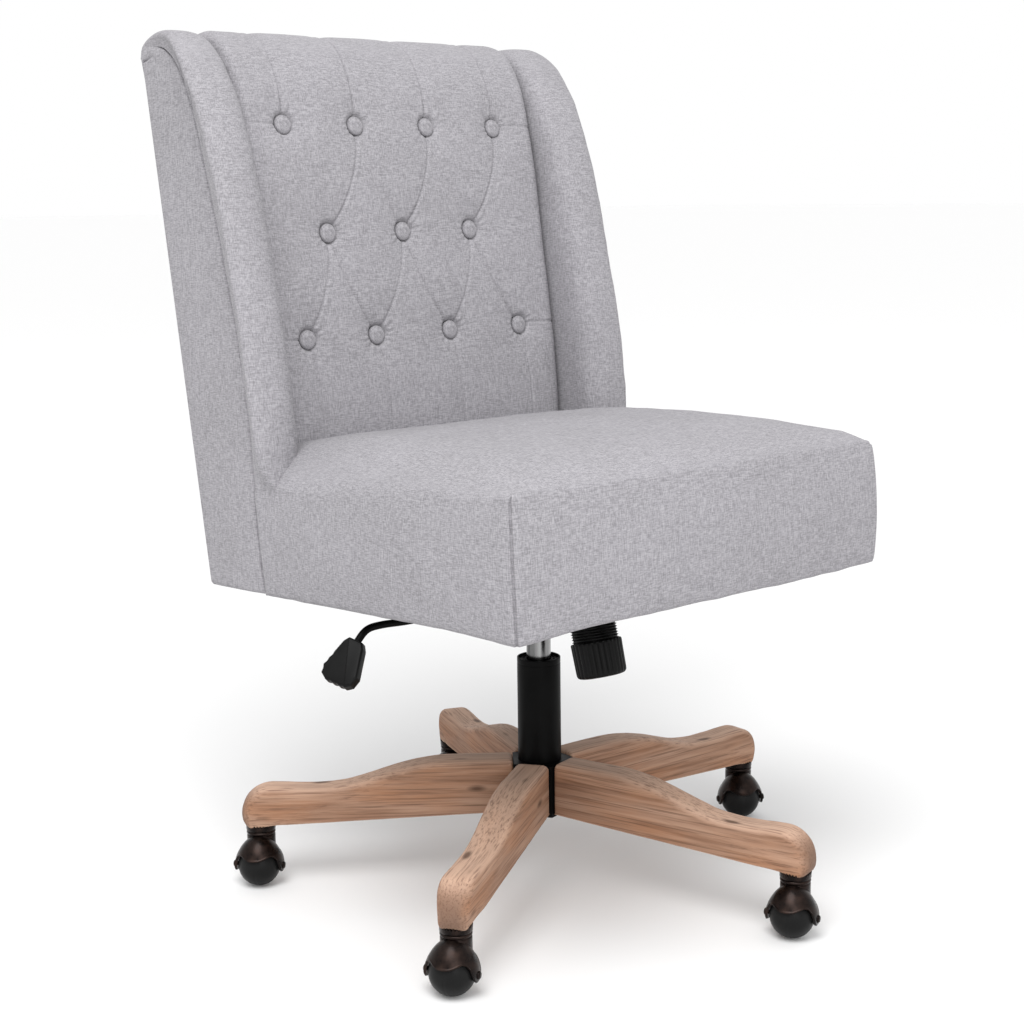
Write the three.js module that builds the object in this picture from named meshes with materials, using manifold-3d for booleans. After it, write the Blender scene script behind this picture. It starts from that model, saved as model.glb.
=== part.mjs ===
// Swivel office chair: tufted wing back and padded seat on a tilting gas lift and a five-leg wooden base.
// Units are millimetres. +Z is up, the floor is z = 0 and the swivel axis is the Z axis.
// The chair faces -Y, so the sitter's right hand is on the -X side.

import * as THREE from 'three';
import { mergeVertices } from 'three/addons/utils/BufferGeometryUtils.js';
import Module from 'manifold-3d';

// ---------- driving dimensions ----------

const GAP = 0.3; // clearance between pieces that touch
const TURN = Math.PI * 2;

// base
const LEG_COUNT = 5;
const FIRST_LEG_ANGLE = 141.4; // degrees, counted from +X
const LEG_WIDTH = 39;
const LEG_CHAMFER = 5;
const LEG_HUB_TOP = 144;
const LEG_HUB_UNDERSIDE = 82.5;
const LEG_TIP_UNDERSIDE = 71;
const LEG_TIP_RADIUS = 347.5;
const CASTER_CIRCLE_RADIUS = 325.6;
const HUB_INRADIUS = 31;
const HUB_TOP = 141;
const HUB_BOTTOM = 80;
const HUB_PLATE = 3;

// casters
const BALL_RADIUS = 24.2;
const BALL_SEGMENTS = 16;
const HOOD_RADIUS = 28.4;
const HOOD_INNER_RADIUS = 26.1;
const HOOD_RIM_Z = 30;
const EAR_BOTTOM_Z = 14.5;
const EAR_HALF_WIDTH = 9;
const CASTER_TRAIL = 12; // ball centre ahead of the stem
const CASTER_HEADINGS = [222, 209.5, 206, 236, 215]; // degrees, one for each leg
const NECK_RADIUS = 15;
const NECK_TOP = 62.9;
const STEM_RADIUS = 4;
const STEM_TOP = 100;
const SOCKET_COLLAR_RADIUS = 15.8;
const SOCKET_COLLAR_BOTTOM = 63.2;
const SOCKET_COLLAR_TOP = 70.6;
const SOCKET_RADIUS = 7;
const SOCKET_TOP = 103;
const AXLE_RADIUS = 2.5;

// gas column
const TUBE_RADIUS = 25;
const TUBE_WALL = 2;
const TUBE_TOP = 262.5;
const TUBE_FLOOR = 3;
const BUSHING_BOTTOM = 192;
const BUSHING_RECESS = 2.5;
const CYLINDER_RADIUS = 14;
const CYLINDER_BOTTOM = 112;
const CYLINDER_TOP = 320;
const ROD_RADIUS = 5;
const ROD_TOP = 242;
const VALVE_RADIUS = 3;
const VALVE_TOP = 329.3;

// tilt mechanism
const HOUSING_HALF_WIDTH = 46;
const HOUSING_FRONT = -126;
const HOUSING_REAR = 85;
const HOUSING_BOTTOM = 318;
const HOUSING_WALL = 2.5;
const HOUSING_CHEEK_TOP = 347; // top edge of the two cheeks that hold the pivot pin
const CHEEK_LENGTH = 40;
const PIVOT_Y = -30;
const PIVOT_Z = 337;
const PIVOT_RADIUS = 6;
const KNOB_TOP = new THREE.Vector3(0, -96, 298);
const KNOB_LEAN = 15; // degrees forward of straight down
const KNOB_RADIUS = 28.8;
const KNOB_LENGTH = 40;
const KNOB_FLOOR = 5;
const NECK_THREAD_RADIUS = 27;
const NECK_BORE_RADIUS = 23.5;
const THREAD_PITCH = 3;

// lever
const LEVER_Z = 334.5;
const LEVER_RADIUS = 4;
const LEVER_INNER_END = 16;
const BUSH_X = -54; // the lever's pivot is at this x
const LEVER_RISE = 2; // height of the bend before the grip
const GRIP_START = new THREE.Vector2(-254.5, 323.8);
const GRIP_END = new THREE.Vector2(-288, 281);
const GRIP_THICKNESS = 15;
const BUSH_HALF_LENGTH = 8.5;

// seat and back, in a frame that leans back about the seat's underside
const SEAT_LEAN = 3.03; // degrees
const SEAT_BASE = 358.7;
const HALF_WIDTH = 264.5;
const SEAT_FRONT = -273;
const SEAT_EDGE_TOP = 499;
const SEAT_CROWN = 530;
const SEAT_REAR = 186;
const PLATE_TOP = 358.4;
const PLATE_THICKNESS = 3;
const BOARD_THICKNESS = 15;
const INNER_HALF_WIDTH = 219;
const REAR_WALL = 30; // thickness of the back frame behind the pad
const WING_BULGE = 18;
const WING_BOTTOM = 482;
const WING_FOOT = 126; // front of the wing where it stands on the seat
const WING_STATIONS = [ // y, z on the seam, then y, z on the front of the roll
  [165.7, WING_BOTTOM, WING_FOOT, WING_BOTTOM],
  [174, 554, 127, 552],
  [185, 645, 136, 640],
  [194, 701, 145, 695],
  [209, 774, 158, 766],
  [218, 807, 167, 811],
  [227, 844, 180, 858],
  [237, 876, 196, 902],
  [247, 899, 214, 934],
  [256, 921, 232, 958],
  [268, 941, 250, 974],
  [281, 958, 268, 983],
  [297, 969, 288, 986],
  [311, 975, 310, 985],
];
const BUTTON_RADIUS = 11.5;
const BUTTON_PITCH = 106.6;
const BUTTON_ROWS = [ // sewn by hand, so the columns are not quite even
  { z: 883, y: 234, columns: [-1.48, -0.53, 0.46, 1.45] },
  { z: 757, y: 226.5, columns: [-1.08, -0.06, 0.91] },
  { z: 636.5, y: 208, columns: [-1.51, -0.59, 0.45, 1.49] },
];
const BACK_LEAN = 8; // degrees, lean of the tufted face

// ---------- solids and booleans ----------

const wasm = await Module();
wasm.setup();

function toManifold(geometry) {
  const bare = geometry.index ? geometry.toNonIndexed() : geometry.clone();
  bare.deleteAttribute('normal');
  bare.deleteAttribute('uv');
  const merged = mergeVertices(bare, 1e-4);
  const mesh = new wasm.Mesh({
    numProp: 3,
    vertProperties: Float32Array.from(merged.attributes.position.array),
    triVerts: Uint32Array.from(merged.index.array),
  });
  return new wasm.Manifold(mesh);
}

function toGeometry(manifold) {
  const mesh = manifold.getMesh();
  const geometry = new THREE.BufferGeometry();
  geometry.setAttribute('position', new THREE.BufferAttribute(mesh.vertProperties, 3));
  geometry.setIndex(new THREE.BufferAttribute(mesh.triVerts, 1));
  geometry.computeVertexNormals();
  return geometry;
}

function join(...geometries) {
  const solids = geometries.map(toManifold);
  return toGeometry(solids.reduce((whole, next) => whole.add(next)));
}

function cut(geometry, ...tools) {
  const solids = tools.map(toManifold);
  return toGeometry(solids.reduce((whole, next) => whole.subtract(next), toManifold(geometry)));
}

function overlap(first, second) {
  return toGeometry(toManifold(first).intersect(toManifold(second)));
}

// ---------- shape helpers ----------

function block(x0, x1, y0, y1, z0, z1) {
  const geometry = new THREE.BoxGeometry(x1 - x0, y1 - y0, z1 - z0);
  return geometry.translate((x0 + x1) / 2, (y0 + y1) / 2, (z0 + z1) / 2);
}

// profile: [radius, z] pairs; the solid turns about the Z axis
function turned(profile, segments) {
  const points = profile.map(([radius, z]) => new THREE.Vector2(radius, z));
  const geometry = new THREE.LatheGeometry(points, segments);
  return geometry.rotateX(Math.PI / 2);
}

function rod(radius, z0, z1, segments = 24) {
  return turned([[0, z0], [radius, z0], [radius, z1], [0, z1]], segments);
}

function ring(outer, inner, z0, z1, segments = 32) {
  return turned([[inner, z0], [outer, z0], [outer, z1], [inner, z1], [inner, z0]], segments);
}

function shapeOf(points) {
  return new THREE.Shape(points.map(([a, b]) => new THREE.Vector2(a, b)));
}

function extruded(shape, depth, options = {}) {
  return new THREE.ExtrudeGeometry(shape, { depth, bevelEnabled: false, curveSegments: 2, ...options });
}

// a (y, z) outline pushed out along X
function acrossX(shape, x0, x1, options) {
  const geometry = extruded(shape, x1 - x0, options);
  const basis = new THREE.Matrix4().makeBasis(
    new THREE.Vector3(0, 1, 0),
    new THREE.Vector3(0, 0, 1),
    new THREE.Vector3(1, 0, 0),
  );
  return geometry.applyMatrix4(basis).translate(x0, 0, 0);
}

// an (x, z) outline pushed out along Y
function acrossY(shape, y0, y1) {
  const geometry = extruded(shape, y1 - y0);
  return geometry.rotateX(Math.PI / 2).translate(0, y1, 0);
}

// ---------- materials ----------

function finish(color, roughness, metalness) {
  return () => new THREE.MeshStandardMaterial({ color, roughness, metalness });
}

const paleFabric = finish(0xb9b8be, 0.95, 0);
const washedWood = finish(0xba9276, 0.7, 0);
const plywood = finish(0xc9a878, 0.8, 0);
const blackSteel = finish(0x1c1c1d, 0.45, 0.4);
const polishedSteel = finish(0xb8bcc2, 0.2, 1);
const bronze = finish(0x2c2422, 0.35, 0.8);
const blackPlastic = finish(0x161617, 0.5, 0);
const blackCloth = finish(0x202021, 1, 0);
const springSteel = finish(0x55565a, 0.4, 0.9);

function piece(name, geometry, material) {
  const mesh = new THREE.Mesh(geometry, material());
  mesh.name = name;
  return mesh;
}

// ---------- base ----------

function legOutline() {
  const shape = new THREE.Shape();
  const hubFace = HUB_INRADIUS + GAP;
  shape.moveTo(hubFace, LEG_HUB_UNDERSIDE);
  shape.lineTo(LEG_TIP_RADIUS - 10, LEG_TIP_UNDERSIDE);
  shape.quadraticCurveTo(LEG_TIP_RADIUS - 1, LEG_TIP_UNDERSIDE, LEG_TIP_RADIUS, LEG_TIP_UNDERSIDE + 10);
  shape.bezierCurveTo(LEG_TIP_RADIUS, 98, 340, 116.5, 318, 116.5);
  shape.bezierCurveTo(292, 115.5, 262, 111.5, 226, 117);
  shape.bezierCurveTo(190, 124, 160, 143, 100, LEG_HUB_TOP);
  shape.lineTo(hubFace, LEG_HUB_TOP);
  return shape;
}

function legGeometry() {
  const flat = extruded(legOutline(), LEG_WIDTH - 2 * LEG_CHAMFER, {
    bevelEnabled: true,
    bevelSegments: 1,
    bevelSize: LEG_CHAMFER,
    bevelThickness: LEG_CHAMFER,
    bevelOffset: -LEG_CHAMFER,
    curveSegments: 5,
  });
  const centred = flat.translate(0, 0, LEG_CHAMFER - LEG_WIDTH / 2).rotateX(Math.PI / 2);
  const bore = rod(SOCKET_RADIUS + GAP, 0, SOCKET_TOP + 2, 16).translate(CASTER_CIRCLE_RADIUS, 0, 0);
  return cut(centred, bore);
}

function hubGeometry() {
  const circumradius = HUB_INRADIUS / Math.cos(Math.PI / LEG_COUNT);
  const prism = rod(circumradius, HUB_BOTTOM, HUB_TOP, LEG_COUNT);
  prism.rotateZ(THREE.MathUtils.degToRad(FIRST_LEG_ANGLE) - firstFlatAngle(prism));
  const tubeSeat = rod(TUBE_RADIUS + GAP, HUB_BOTTOM + HUB_PLATE, HUB_TOP + 1, 32);
  const clipHole = rod(ROD_RADIUS + 5, HUB_BOTTOM - 1, HUB_TOP, 24);
  return cut(prism, tubeSeat, clipHole);
}

// angle of the middle of the flat between the first two corners of a prism
function firstFlatAngle(prism) {
  const corner = new THREE.Vector3().fromBufferAttribute(prism.attributes.position, 1);
  return Math.atan2(corner.y, corner.x) + Math.PI / LEG_COUNT;
}

// sleeve pressed into the leg, with a toothed collar that bites the underside
function socketGeometry() {
  const bore = STEM_RADIUS + GAP;
  const body = turned(
    [
      [bore, SOCKET_COLLAR_BOTTOM],
      [SOCKET_COLLAR_RADIUS, SOCKET_COLLAR_BOTTOM],
      [SOCKET_COLLAR_RADIUS, SOCKET_COLLAR_TOP],
      [SOCKET_RADIUS, SOCKET_COLLAR_TOP],
      [SOCKET_RADIUS, SOCKET_TOP],
      [bore, SOCKET_TOP],
      [bore, SOCKET_COLLAR_BOTTOM],
    ],
    12,
  );
  const notches = [];
  for (let i = 0; i < 12; i++) {
    const notchBottom = SOCKET_COLLAR_TOP - 2.4;
    const notch = block(SOCKET_COLLAR_RADIUS - 4, 40, -1.3, 1.3, notchBottom, SOCKET_COLLAR_TOP + 1);
    notches.push(notch.rotateZ(i * TURN / 12));
  }
  return cut(body, ...notches);
}

// ---------- casters: x is the rolling direction, y the axle, origin on the floor under the stem ----------

function ballGeometry() {
  const flatRadius = BALL_RADIUS / Math.cos(Math.PI / BALL_SEGMENTS);
  const profile = [[AXLE_RADIUS + GAP, -24], [AXLE_RADIUS + GAP, 24]];
  for (let i = 1; i < 8; i++) {
    const angle = Math.PI * (0.5 - i / 8);
    profile.push([flatRadius * Math.cos(angle), BALL_RADIUS * Math.sin(angle)]);
  }
  profile.push(profile[0]);
  const upright = turned(profile.reverse(), BALL_SEGMENTS).rotateZ(Math.PI / BALL_SEGMENTS);
  return upright.rotateX(Math.PI / 2);
}

function hoodGeometry() {
  const centre = CASTER_TRAIL;
  const outer = new THREE.SphereGeometry(HOOD_RADIUS, 16, 10).translate(centre, 0, BALL_RADIUS);
  const inner = new THREE.SphereGeometry(HOOD_INNER_RADIUS, 16, 10).translate(centre, 0, BALL_RADIUS);
  const cap = overlap(outer, block(-40, 60, -40, 40, HOOD_RIM_Z, 80));
  const ears = overlap(
    outer,
    block(centre - EAR_HALF_WIDTH, centre + EAR_HALF_WIDTH, -40, 40, EAR_BOTTOM_Z, HOOD_RIM_Z + 1),
  );
  const neck = turned(
    [
      [0, 42],
      [NECK_RADIUS + 1, 42],
      [NECK_RADIUS, 53],
      [NECK_RADIUS + 1, 55],
      [NECK_RADIUS, 57.5],
      [NECK_RADIUS + 1, 60],
      [NECK_RADIUS, NECK_TOP],
      [STEM_RADIUS, NECK_TOP],
      [STEM_RADIUS, STEM_TOP],
      [0, STEM_TOP],
    ],
    12,
  );
  const axleHole = rod(AXLE_RADIUS + GAP, -40, 40, 8).rotateX(Math.PI / 2).translate(centre, 0, BALL_RADIUS);
  return cut(join(cap, ears, neck), inner, axleHole);
}

function axleGeometry() {
  const head = AXLE_RADIUS + 1.8;
  const inside = HOOD_RADIUS + GAP;
  const end = inside + 2;
  const profile = [[0, -end], [head, -end], [head, -inside], [AXLE_RADIUS, -inside]];
  profile.push([AXLE_RADIUS, inside], [head, inside], [head, end], [0, end]);
  return turned(profile, 8).rotateX(Math.PI / 2);
}

function addCasterAndLeg(chair, index) {
  const number = index + 1;
  const legAngle = THREE.MathUtils.degToRad(FIRST_LEG_ANGLE + (360 / LEG_COUNT) * index);
  const arm = new THREE.Group();
  arm.rotation.z = legAngle;
  arm.add(piece(`leg_${number}`, legGeometry(), washedWood));
  const socket = piece(`caster_socket_${number}`, socketGeometry(), bronze);
  socket.position.x = CASTER_CIRCLE_RADIUS;
  arm.add(socket);
  chair.add(arm);

  const caster = new THREE.Group();
  caster.position.set(Math.cos(legAngle), Math.sin(legAngle), 0).multiplyScalar(CASTER_CIRCLE_RADIUS);
  caster.rotation.z = THREE.MathUtils.degToRad(CASTER_HEADINGS[index]);
  const ball = piece(`caster_ball_${number}`, ballGeometry(), blackPlastic);
  const axle = piece(`caster_axle_${number}`, axleGeometry(), bronze);
  ball.position.set(CASTER_TRAIL, 0, BALL_RADIUS);
  axle.position.copy(ball.position);
  caster.add(piece(`caster_hood_${number}`, hoodGeometry(), bronze), ball, axle);
  chair.add(caster);
}

// ---------- gas column ----------

function addColumn(chair) {
  const tubeBottom = HUB_BOTTOM + HUB_PLATE + GAP;
  const tubeFloor = tubeBottom + TUBE_FLOOR;
  const tubeInside = TUBE_RADIUS - TUBE_WALL;
  const tube = turned(
    [
      [ROD_RADIUS + GAP, tubeBottom],
      [TUBE_RADIUS, tubeBottom],
      [TUBE_RADIUS, TUBE_TOP - 1],
      [TUBE_RADIUS - 1, TUBE_TOP],
      [tubeInside, TUBE_TOP],
      [tubeInside, tubeFloor],
      [ROD_RADIUS + GAP, tubeFloor],
      [ROD_RADIUS + GAP, tubeBottom],
    ],
    32,
  );
  const bushingTop = TUBE_TOP - BUSHING_RECESS;
  const bushing = ring(tubeInside - GAP, CYLINDER_RADIUS + GAP, BUSHING_BOTTOM, bushingTop, 32);
  const bearingBottom = tubeFloor + GAP;
  const bearingTop = bearingBottom + 8;
  const bearing = ring(16, ROD_RADIUS + GAP, bearingBottom, bearingTop, 24);
  const collarBottom = bearingTop + GAP;
  const pistonRod = turned(
    [
      [0, HUB_BOTTOM - 2],
      [ROD_RADIUS, HUB_BOTTOM - 2],
      [ROD_RADIUS, collarBottom],
      [12, collarBottom],
      [12, collarBottom + 3],
      [ROD_RADIUS, collarBottom + 3],
      [ROD_RADIUS, ROD_TOP],
      [0, ROD_TOP],
    ],
    24,
  );
  const valveBore = 292;
  const rodBore = 284;
  const cylinder = turned(
    [
      [ROD_RADIUS + GAP, CYLINDER_BOTTOM],
      [CYLINDER_RADIUS, CYLINDER_BOTTOM],
      [CYLINDER_RADIUS, CYLINDER_TOP - 2],
      [CYLINDER_RADIUS - 2, CYLINDER_TOP],
      [VALVE_RADIUS + GAP, CYLINDER_TOP],
      [VALVE_RADIUS + GAP, valveBore],
      [0, valveBore],
      [0, rodBore],
      [ROD_RADIUS + GAP, rodBore],
      [ROD_RADIUS + GAP, CYLINDER_BOTTOM],
    ],
    32,
  );
  const valve = rod(VALVE_RADIUS, valveBore + 5, VALVE_TOP, 16);
  chair.add(
    piece('base_hub', hubGeometry(), blackSteel),
    piece('column_tube', tube, blackSteel),
    piece('column_bushing', bushing, blackPlastic),
    piece('thrust_bearing', bearing, polishedSteel),
    piece('piston_rod', pistonRod, polishedSteel),
    piece('gas_cylinder', cylinder, polishedSteel),
    piece('valve_pin', valve, polishedSteel),
  );
}

// ---------- tilt mechanism ----------

function housingGeometry() {
  const side = shapeOf([
    [HOUSING_FRONT, HOUSING_BOTTOM + 8],
    [HOUSING_FRONT + 24, HOUSING_BOTTOM],
    [HOUSING_REAR, HOUSING_BOTTOM],
    [HOUSING_REAR, HOUSING_BOTTOM + 6],
    [PIVOT_Y, HOUSING_CHEEK_TOP],
    [PIVOT_Y - CHEEK_LENGTH, HOUSING_CHEEK_TOP],
    [HOUSING_FRONT, HOUSING_BOTTOM + 16],
  ]);
  const pan = acrossX(side, -HOUSING_HALF_WIDTH, HOUSING_HALF_WIDTH);
  const inside = HOUSING_HALF_WIDTH - HOUSING_WALL;
  const front = HOUSING_FRONT + HOUSING_WALL;
  const rear = HOUSING_REAR - HOUSING_WALL;
  const hollow = block(-inside, inside, front, rear, HOUSING_BOTTOM + HOUSING_WALL, 380);
  const boss = rod(CYLINDER_RADIUS + 8, HOUSING_BOTTOM - 26, HOUSING_BOTTOM + 4, 32);
  const cylinderBore = rod(CYLINDER_RADIUS + GAP, HOUSING_BOTTOM - 36, HOUSING_BOTTOM + 14, 32);
  const pivotBore = rod(PIVOT_RADIUS + GAP, -60, 60).rotateY(Math.PI / 2).translate(0, PIVOT_Y, PIVOT_Z);
  const leverSlot = block(-50, -40, -6, 6, LEVER_Z - 6, 380);
  return cut(join(cut(pan, hollow), boss), cylinderBore, pivotBore, leverSlot);
}

// puts a geometry made along +Z on the knob's axis: its z = 0 goes to the knob's top, +Z runs down the axis
function onKnobAxis(geometry) {
  const lean = THREE.MathUtils.degToRad(180 - KNOB_LEAN);
  return geometry.rotateX(lean).translate(KNOB_TOP.x, KNOB_TOP.y, KNOB_TOP.z);
}

// threaded sleeve under the housing that the knob screws onto
function neckGeometry() {
  const top = -32;
  const bottom = 22;
  const root = NECK_THREAD_RADIUS - 1.2;
  const profile = [[NECK_BORE_RADIUS, bottom], [NECK_BORE_RADIUS, top], [root, top]];
  for (let z = -16; z < 2; z += THREAD_PITCH) {
    profile.push([root, z], [NECK_THREAD_RADIUS, z + THREAD_PITCH / 2]);
  }
  profile.push([root, 2], [root, bottom], [NECK_BORE_RADIUS, bottom]);
  const sleeve = onKnobAxis(turned(profile, 24));
  return cut(sleeve, block(-60, 60, -160, 0, HOUSING_BOTTOM - GAP, 400));
}

function knobGeometry() {
  const bore = NECK_THREAD_RADIUS + 0.5;
  const floor = KNOB_LENGTH - KNOB_FLOOR;
  const cup = turned(
    [
      [0, KNOB_LENGTH],
      [0, floor],
      [bore, floor],
      [bore, 0],
      [KNOB_RADIUS - 0.4, 0],
      [KNOB_RADIUS, 2],
      [KNOB_RADIUS - 0.6, KNOB_LENGTH - 3],
      [KNOB_RADIUS - 3.5, KNOB_LENGTH],
      [0, KNOB_LENGTH],
    ],
    24,
  );
  return onKnobAxis(cup);
}

function washerGeometry() {
  const top = KNOB_LENGTH - KNOB_FLOOR - GAP;
  return onKnobAxis(ring(23, 6, top - 2.5, top, 24));
}

function springGeometry() {
  const turns = 5;
  const stepsPerTurn = 10;
  const coilRadius = 18;
  const start = -7;
  const end = 28;
  const points = [];
  for (let i = 0; i <= turns * stepsPerTurn; i++) {
    const part = i / (turns * stepsPerTurn);
    const angle = part * turns * TURN;
    const z = start + (end - start) * part;
    points.push(new THREE.Vector3(coilRadius * Math.cos(angle), coilRadius * Math.sin(angle), z));
  }
  const wire = new THREE.Shape();
  wire.absarc(0, 0, 2.4, 0, TURN);
  const coil = new THREE.ExtrudeGeometry(wire, {
    steps: turns * stepsPerTurn,
    curveSegments: 3,
    extrudePath: new THREE.CatmullRomCurve3(points),
  });
  return onKnobAxis(coil);
}

function addMechanism(chair) {
  const pinHalf = HOUSING_HALF_WIDTH + 11;
  const pin = rod(PIVOT_RADIUS, -pinHalf, pinHalf, 24).rotateY(Math.PI / 2).translate(0, PIVOT_Y, PIVOT_Z);
  chair.add(
    piece('tilt_housing', housingGeometry(), blackSteel),
    piece('tilt_pivot_pin', pin, polishedSteel),
    piece('tension_neck', neckGeometry(), blackPlastic),
    piece('tension_knob', knobGeometry(), blackPlastic),
    piece('tension_washer', washerGeometry(), polishedSteel),
    piece('tension_spring', springGeometry(), springSteel),
  );
}

// ---------- lever ----------

function leverRodGeometry() {
  const across = new THREE.Shape();
  across.absarc(0, 0, LEVER_RADIUS, 0, TURN);
  const axis = GRIP_END.clone().sub(GRIP_START).normalize();
  const tip = GRIP_START.clone().addScaledVector(axis, 14);
  const path = new THREE.CatmullRomCurve3([
    new THREE.Vector3(LEVER_INNER_END, 0, LEVER_Z),
    new THREE.Vector3(-60, 0, LEVER_Z),
    new THREE.Vector3(-150, 0, LEVER_Z),
    new THREE.Vector3(-190, 0, LEVER_Z + LEVER_RISE / 4),
    new THREE.Vector3(-222, 0, LEVER_Z + LEVER_RISE),
    new THREE.Vector3(-241.5, 0, LEVER_Z),
    new THREE.Vector3(GRIP_START.x, 0, GRIP_START.y),
    new THREE.Vector3(tip.x, 0, tip.y),
  ], false, 'centripetal');
  return new THREE.ExtrudeGeometry(across, { steps: 26, curveSegments: 4, extrudePath: path });
}

// flat paddle that widens to its end; it holds the last of the rod in a round socket
function leverGripGeometry() {
  const along = GRIP_END.clone().sub(GRIP_START);
  const length = along.length();
  const outline = shapeOf([
    [0, -9],
    [7, -13],
    [length - 12, -19],
    [length, -12],
    [length, 12],
    [length - 12, 19],
    [7, 13],
    [0, 9],
  ]);
  const paddle = extruded(outline, GRIP_THICKNESS - 4, {
    bevelEnabled: true,
    bevelSegments: 1,
    bevelSize: 2,
    bevelThickness: 2,
    bevelOffset: -2,
  }).translate(0, 0, 2 - GRIP_THICKNESS / 2);
  const socket = rod(LEVER_RADIUS + GAP, -20, 14.5, 12).rotateY(Math.PI / 2);
  const grip = cut(paddle, socket);
  const slope = Math.atan2(-along.y, along.x);
  return grip.rotateY(slope).translate(GRIP_START.x, 0, GRIP_START.y);
}

function addLever(chair) {
  const inner = -HOUSING_HALF_WIDTH - 1; // room for the bush to rock
  const outer = 2 * BUSH_X - inner;
  const body = block(outer, inner, -BUSH_HALF_LENGTH, BUSH_HALF_LENGTH, LEVER_Z - 11, LEVER_Z + 9);
  const bore = LEVER_RADIUS + GAP;
  const hole = block(outer - 1, inner + 1, -bore, bore, LEVER_Z - bore - 1.2, LEVER_Z + bore + 1.2);
  chair.add(
    piece('lever_bush', cut(body, hole), blackPlastic),
    piece('lever_rod', leverRodGeometry(), blackSteel),
    piece('lever_grip', leverGripGeometry(), blackPlastic),
  );
}

// ---------- seat ----------

// the mechanism's pivot, seen from the frame of the leaning seat
function pivotInSeatFrame() {
  const lean = THREE.MathUtils.degToRad(SEAT_LEAN);
  const drop = PIVOT_Z - SEAT_BASE;
  return {
    y: PIVOT_Y * Math.cos(lean) - drop * Math.sin(lean),
    z: SEAT_BASE + PIVOT_Y * Math.sin(lean) + drop * Math.cos(lean),
  };
}

function seatPlateGeometry() {
  const pivot = pivotInSeatFrame();
  const under = PLATE_TOP - PLATE_THICKNESS;
  const plate = block(-95, 95, -115, 90, under, PLATE_TOP);
  const holes = [];
  for (const x of [-80, 80]) {
    for (const y of [-98, 74]) {
      holes.push(rod(4.5, 342, 372, 12).translate(x, y, 0));
    }
  }
  const ears = [-1, 1].map((side) => {
    const near = HOUSING_HALF_WIDTH + 3.5;
    const ear = block(near, near + PLATE_THICKNESS, pivot.y - 26, pivot.y + 15, pivot.z - 10, under + 1);
    return side > 0 ? ear : ear.translate(-2 * near - PLATE_THICKNESS, 0, 0);
  });
  const bore = rod(PIVOT_RADIUS + GAP, -60, 60).rotateY(Math.PI / 2).translate(0, pivot.y, pivot.z);
  return cut(join(plate, ...ears), bore, ...holes);
}

// the seat's side ends at this y, just in front of the back's side panel
function seatSideEnd(z) {
  return 152.5 + (z - SEAT_BASE) * 0.0935;
}

function seatOutline() {
  const shape = new THREE.Shape();
  shape.moveTo(SEAT_FRONT, SEAT_BASE);
  shape.lineTo(SEAT_REAR, SEAT_BASE);
  shape.lineTo(SEAT_REAR, SEAT_CROWN - 7);
  shape.bezierCurveTo(100, SEAT_CROWN + 2, -160, SEAT_CROWN + 6, SEAT_FRONT + 22, SEAT_EDGE_TOP + 4);
  shape.quadraticCurveTo(SEAT_FRONT + 4, SEAT_EDGE_TOP - 2, SEAT_FRONT + 4, SEAT_EDGE_TOP - 20);
  return shape;
}

function seatCrossSection() {
  const shape = new THREE.Shape();
  shape.moveTo(-HALF_WIDTH, SEAT_BASE - 1);
  shape.lineTo(HALF_WIDTH, SEAT_BASE - 1);
  shape.lineTo(HALF_WIDTH, SEAT_EDGE_TOP - 18);
  shape.quadraticCurveTo(HALF_WIDTH, SEAT_EDGE_TOP - 4, HALF_WIDTH - 16, SEAT_EDGE_TOP + 2);
  shape.bezierCurveTo(205, SEAT_CROWN, 170, SEAT_CROWN + 5, 0, SEAT_CROWN + 5);
  shape.bezierCurveTo(-170, SEAT_CROWN + 5, -205, SEAT_CROWN, 16 - HALF_WIDTH, SEAT_EDGE_TOP + 2);
  shape.quadraticCurveTo(-HALF_WIDTH, SEAT_EDGE_TOP - 4, -HALF_WIDTH, SEAT_EDGE_TOP - 18);
  return shape;
}

// what is cut off the seat's rear corners: the side panel stands behind it and the wing presses it down
function besideTheBack(side) {
  const underWing = WING_BOTTOM - GAP;
  const outline = shapeOf([
    [seatSideEnd(SEAT_BASE - 10), SEAT_BASE - 10],
    [260, SEAT_BASE - 10],
    [260, 560],
    [WING_FOOT - GAP, 560],
    [WING_FOOT - GAP, underWing],
    [seatSideEnd(underWing), underWing],
  ]);
  const inner = INNER_HALF_WIDTH - GAP;
  return side > 0 ? acrossX(outline, inner, 320) : acrossX(outline, -320, -inner);
}

function seatCushionGeometry() {
  const along = acrossX(seatOutline(), -HALF_WIDTH, HALF_WIDTH, { curveSegments: 5 });
  const across = acrossY(seatCrossSection(), SEAT_FRONT - 1, SEAT_REAR + 1);
  const pocket = block(-240, 240, -250, 148, SEAT_BASE - 1, SEAT_BASE + 17);
  return cut(overlap(along, across), besideTheBack(-1), besideTheBack(1), pocket);
}

function addSeat(seat) {
  const coverTop = SEAT_BASE + 1.2;
  const boardBottom = coverTop + GAP;
  seat.add(
    piece('seat_plate', seatPlateGeometry(), blackSteel),
    piece('dust_cover', block(-239, 239, -249, 147, SEAT_BASE + 0.1, coverTop), blackCloth),
    piece('seat_board', block(-239, 239, -249, 147, boardBottom, boardBottom + BOARD_THICKNESS), plywood),
    piece('seat_cushion', seatCushionGeometry(), paleFabric),
  );
}

// ---------- back ----------

// seam between the flat side panel and the rounded wing, as (y, z) from the seat up
function seamPoints() {
  const overTheSeat = WING_STATIONS.map(([y, z]) => [y, z]);
  return [[153, SEAT_BASE], [165, 476], ...overTheSeat];
}

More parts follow.
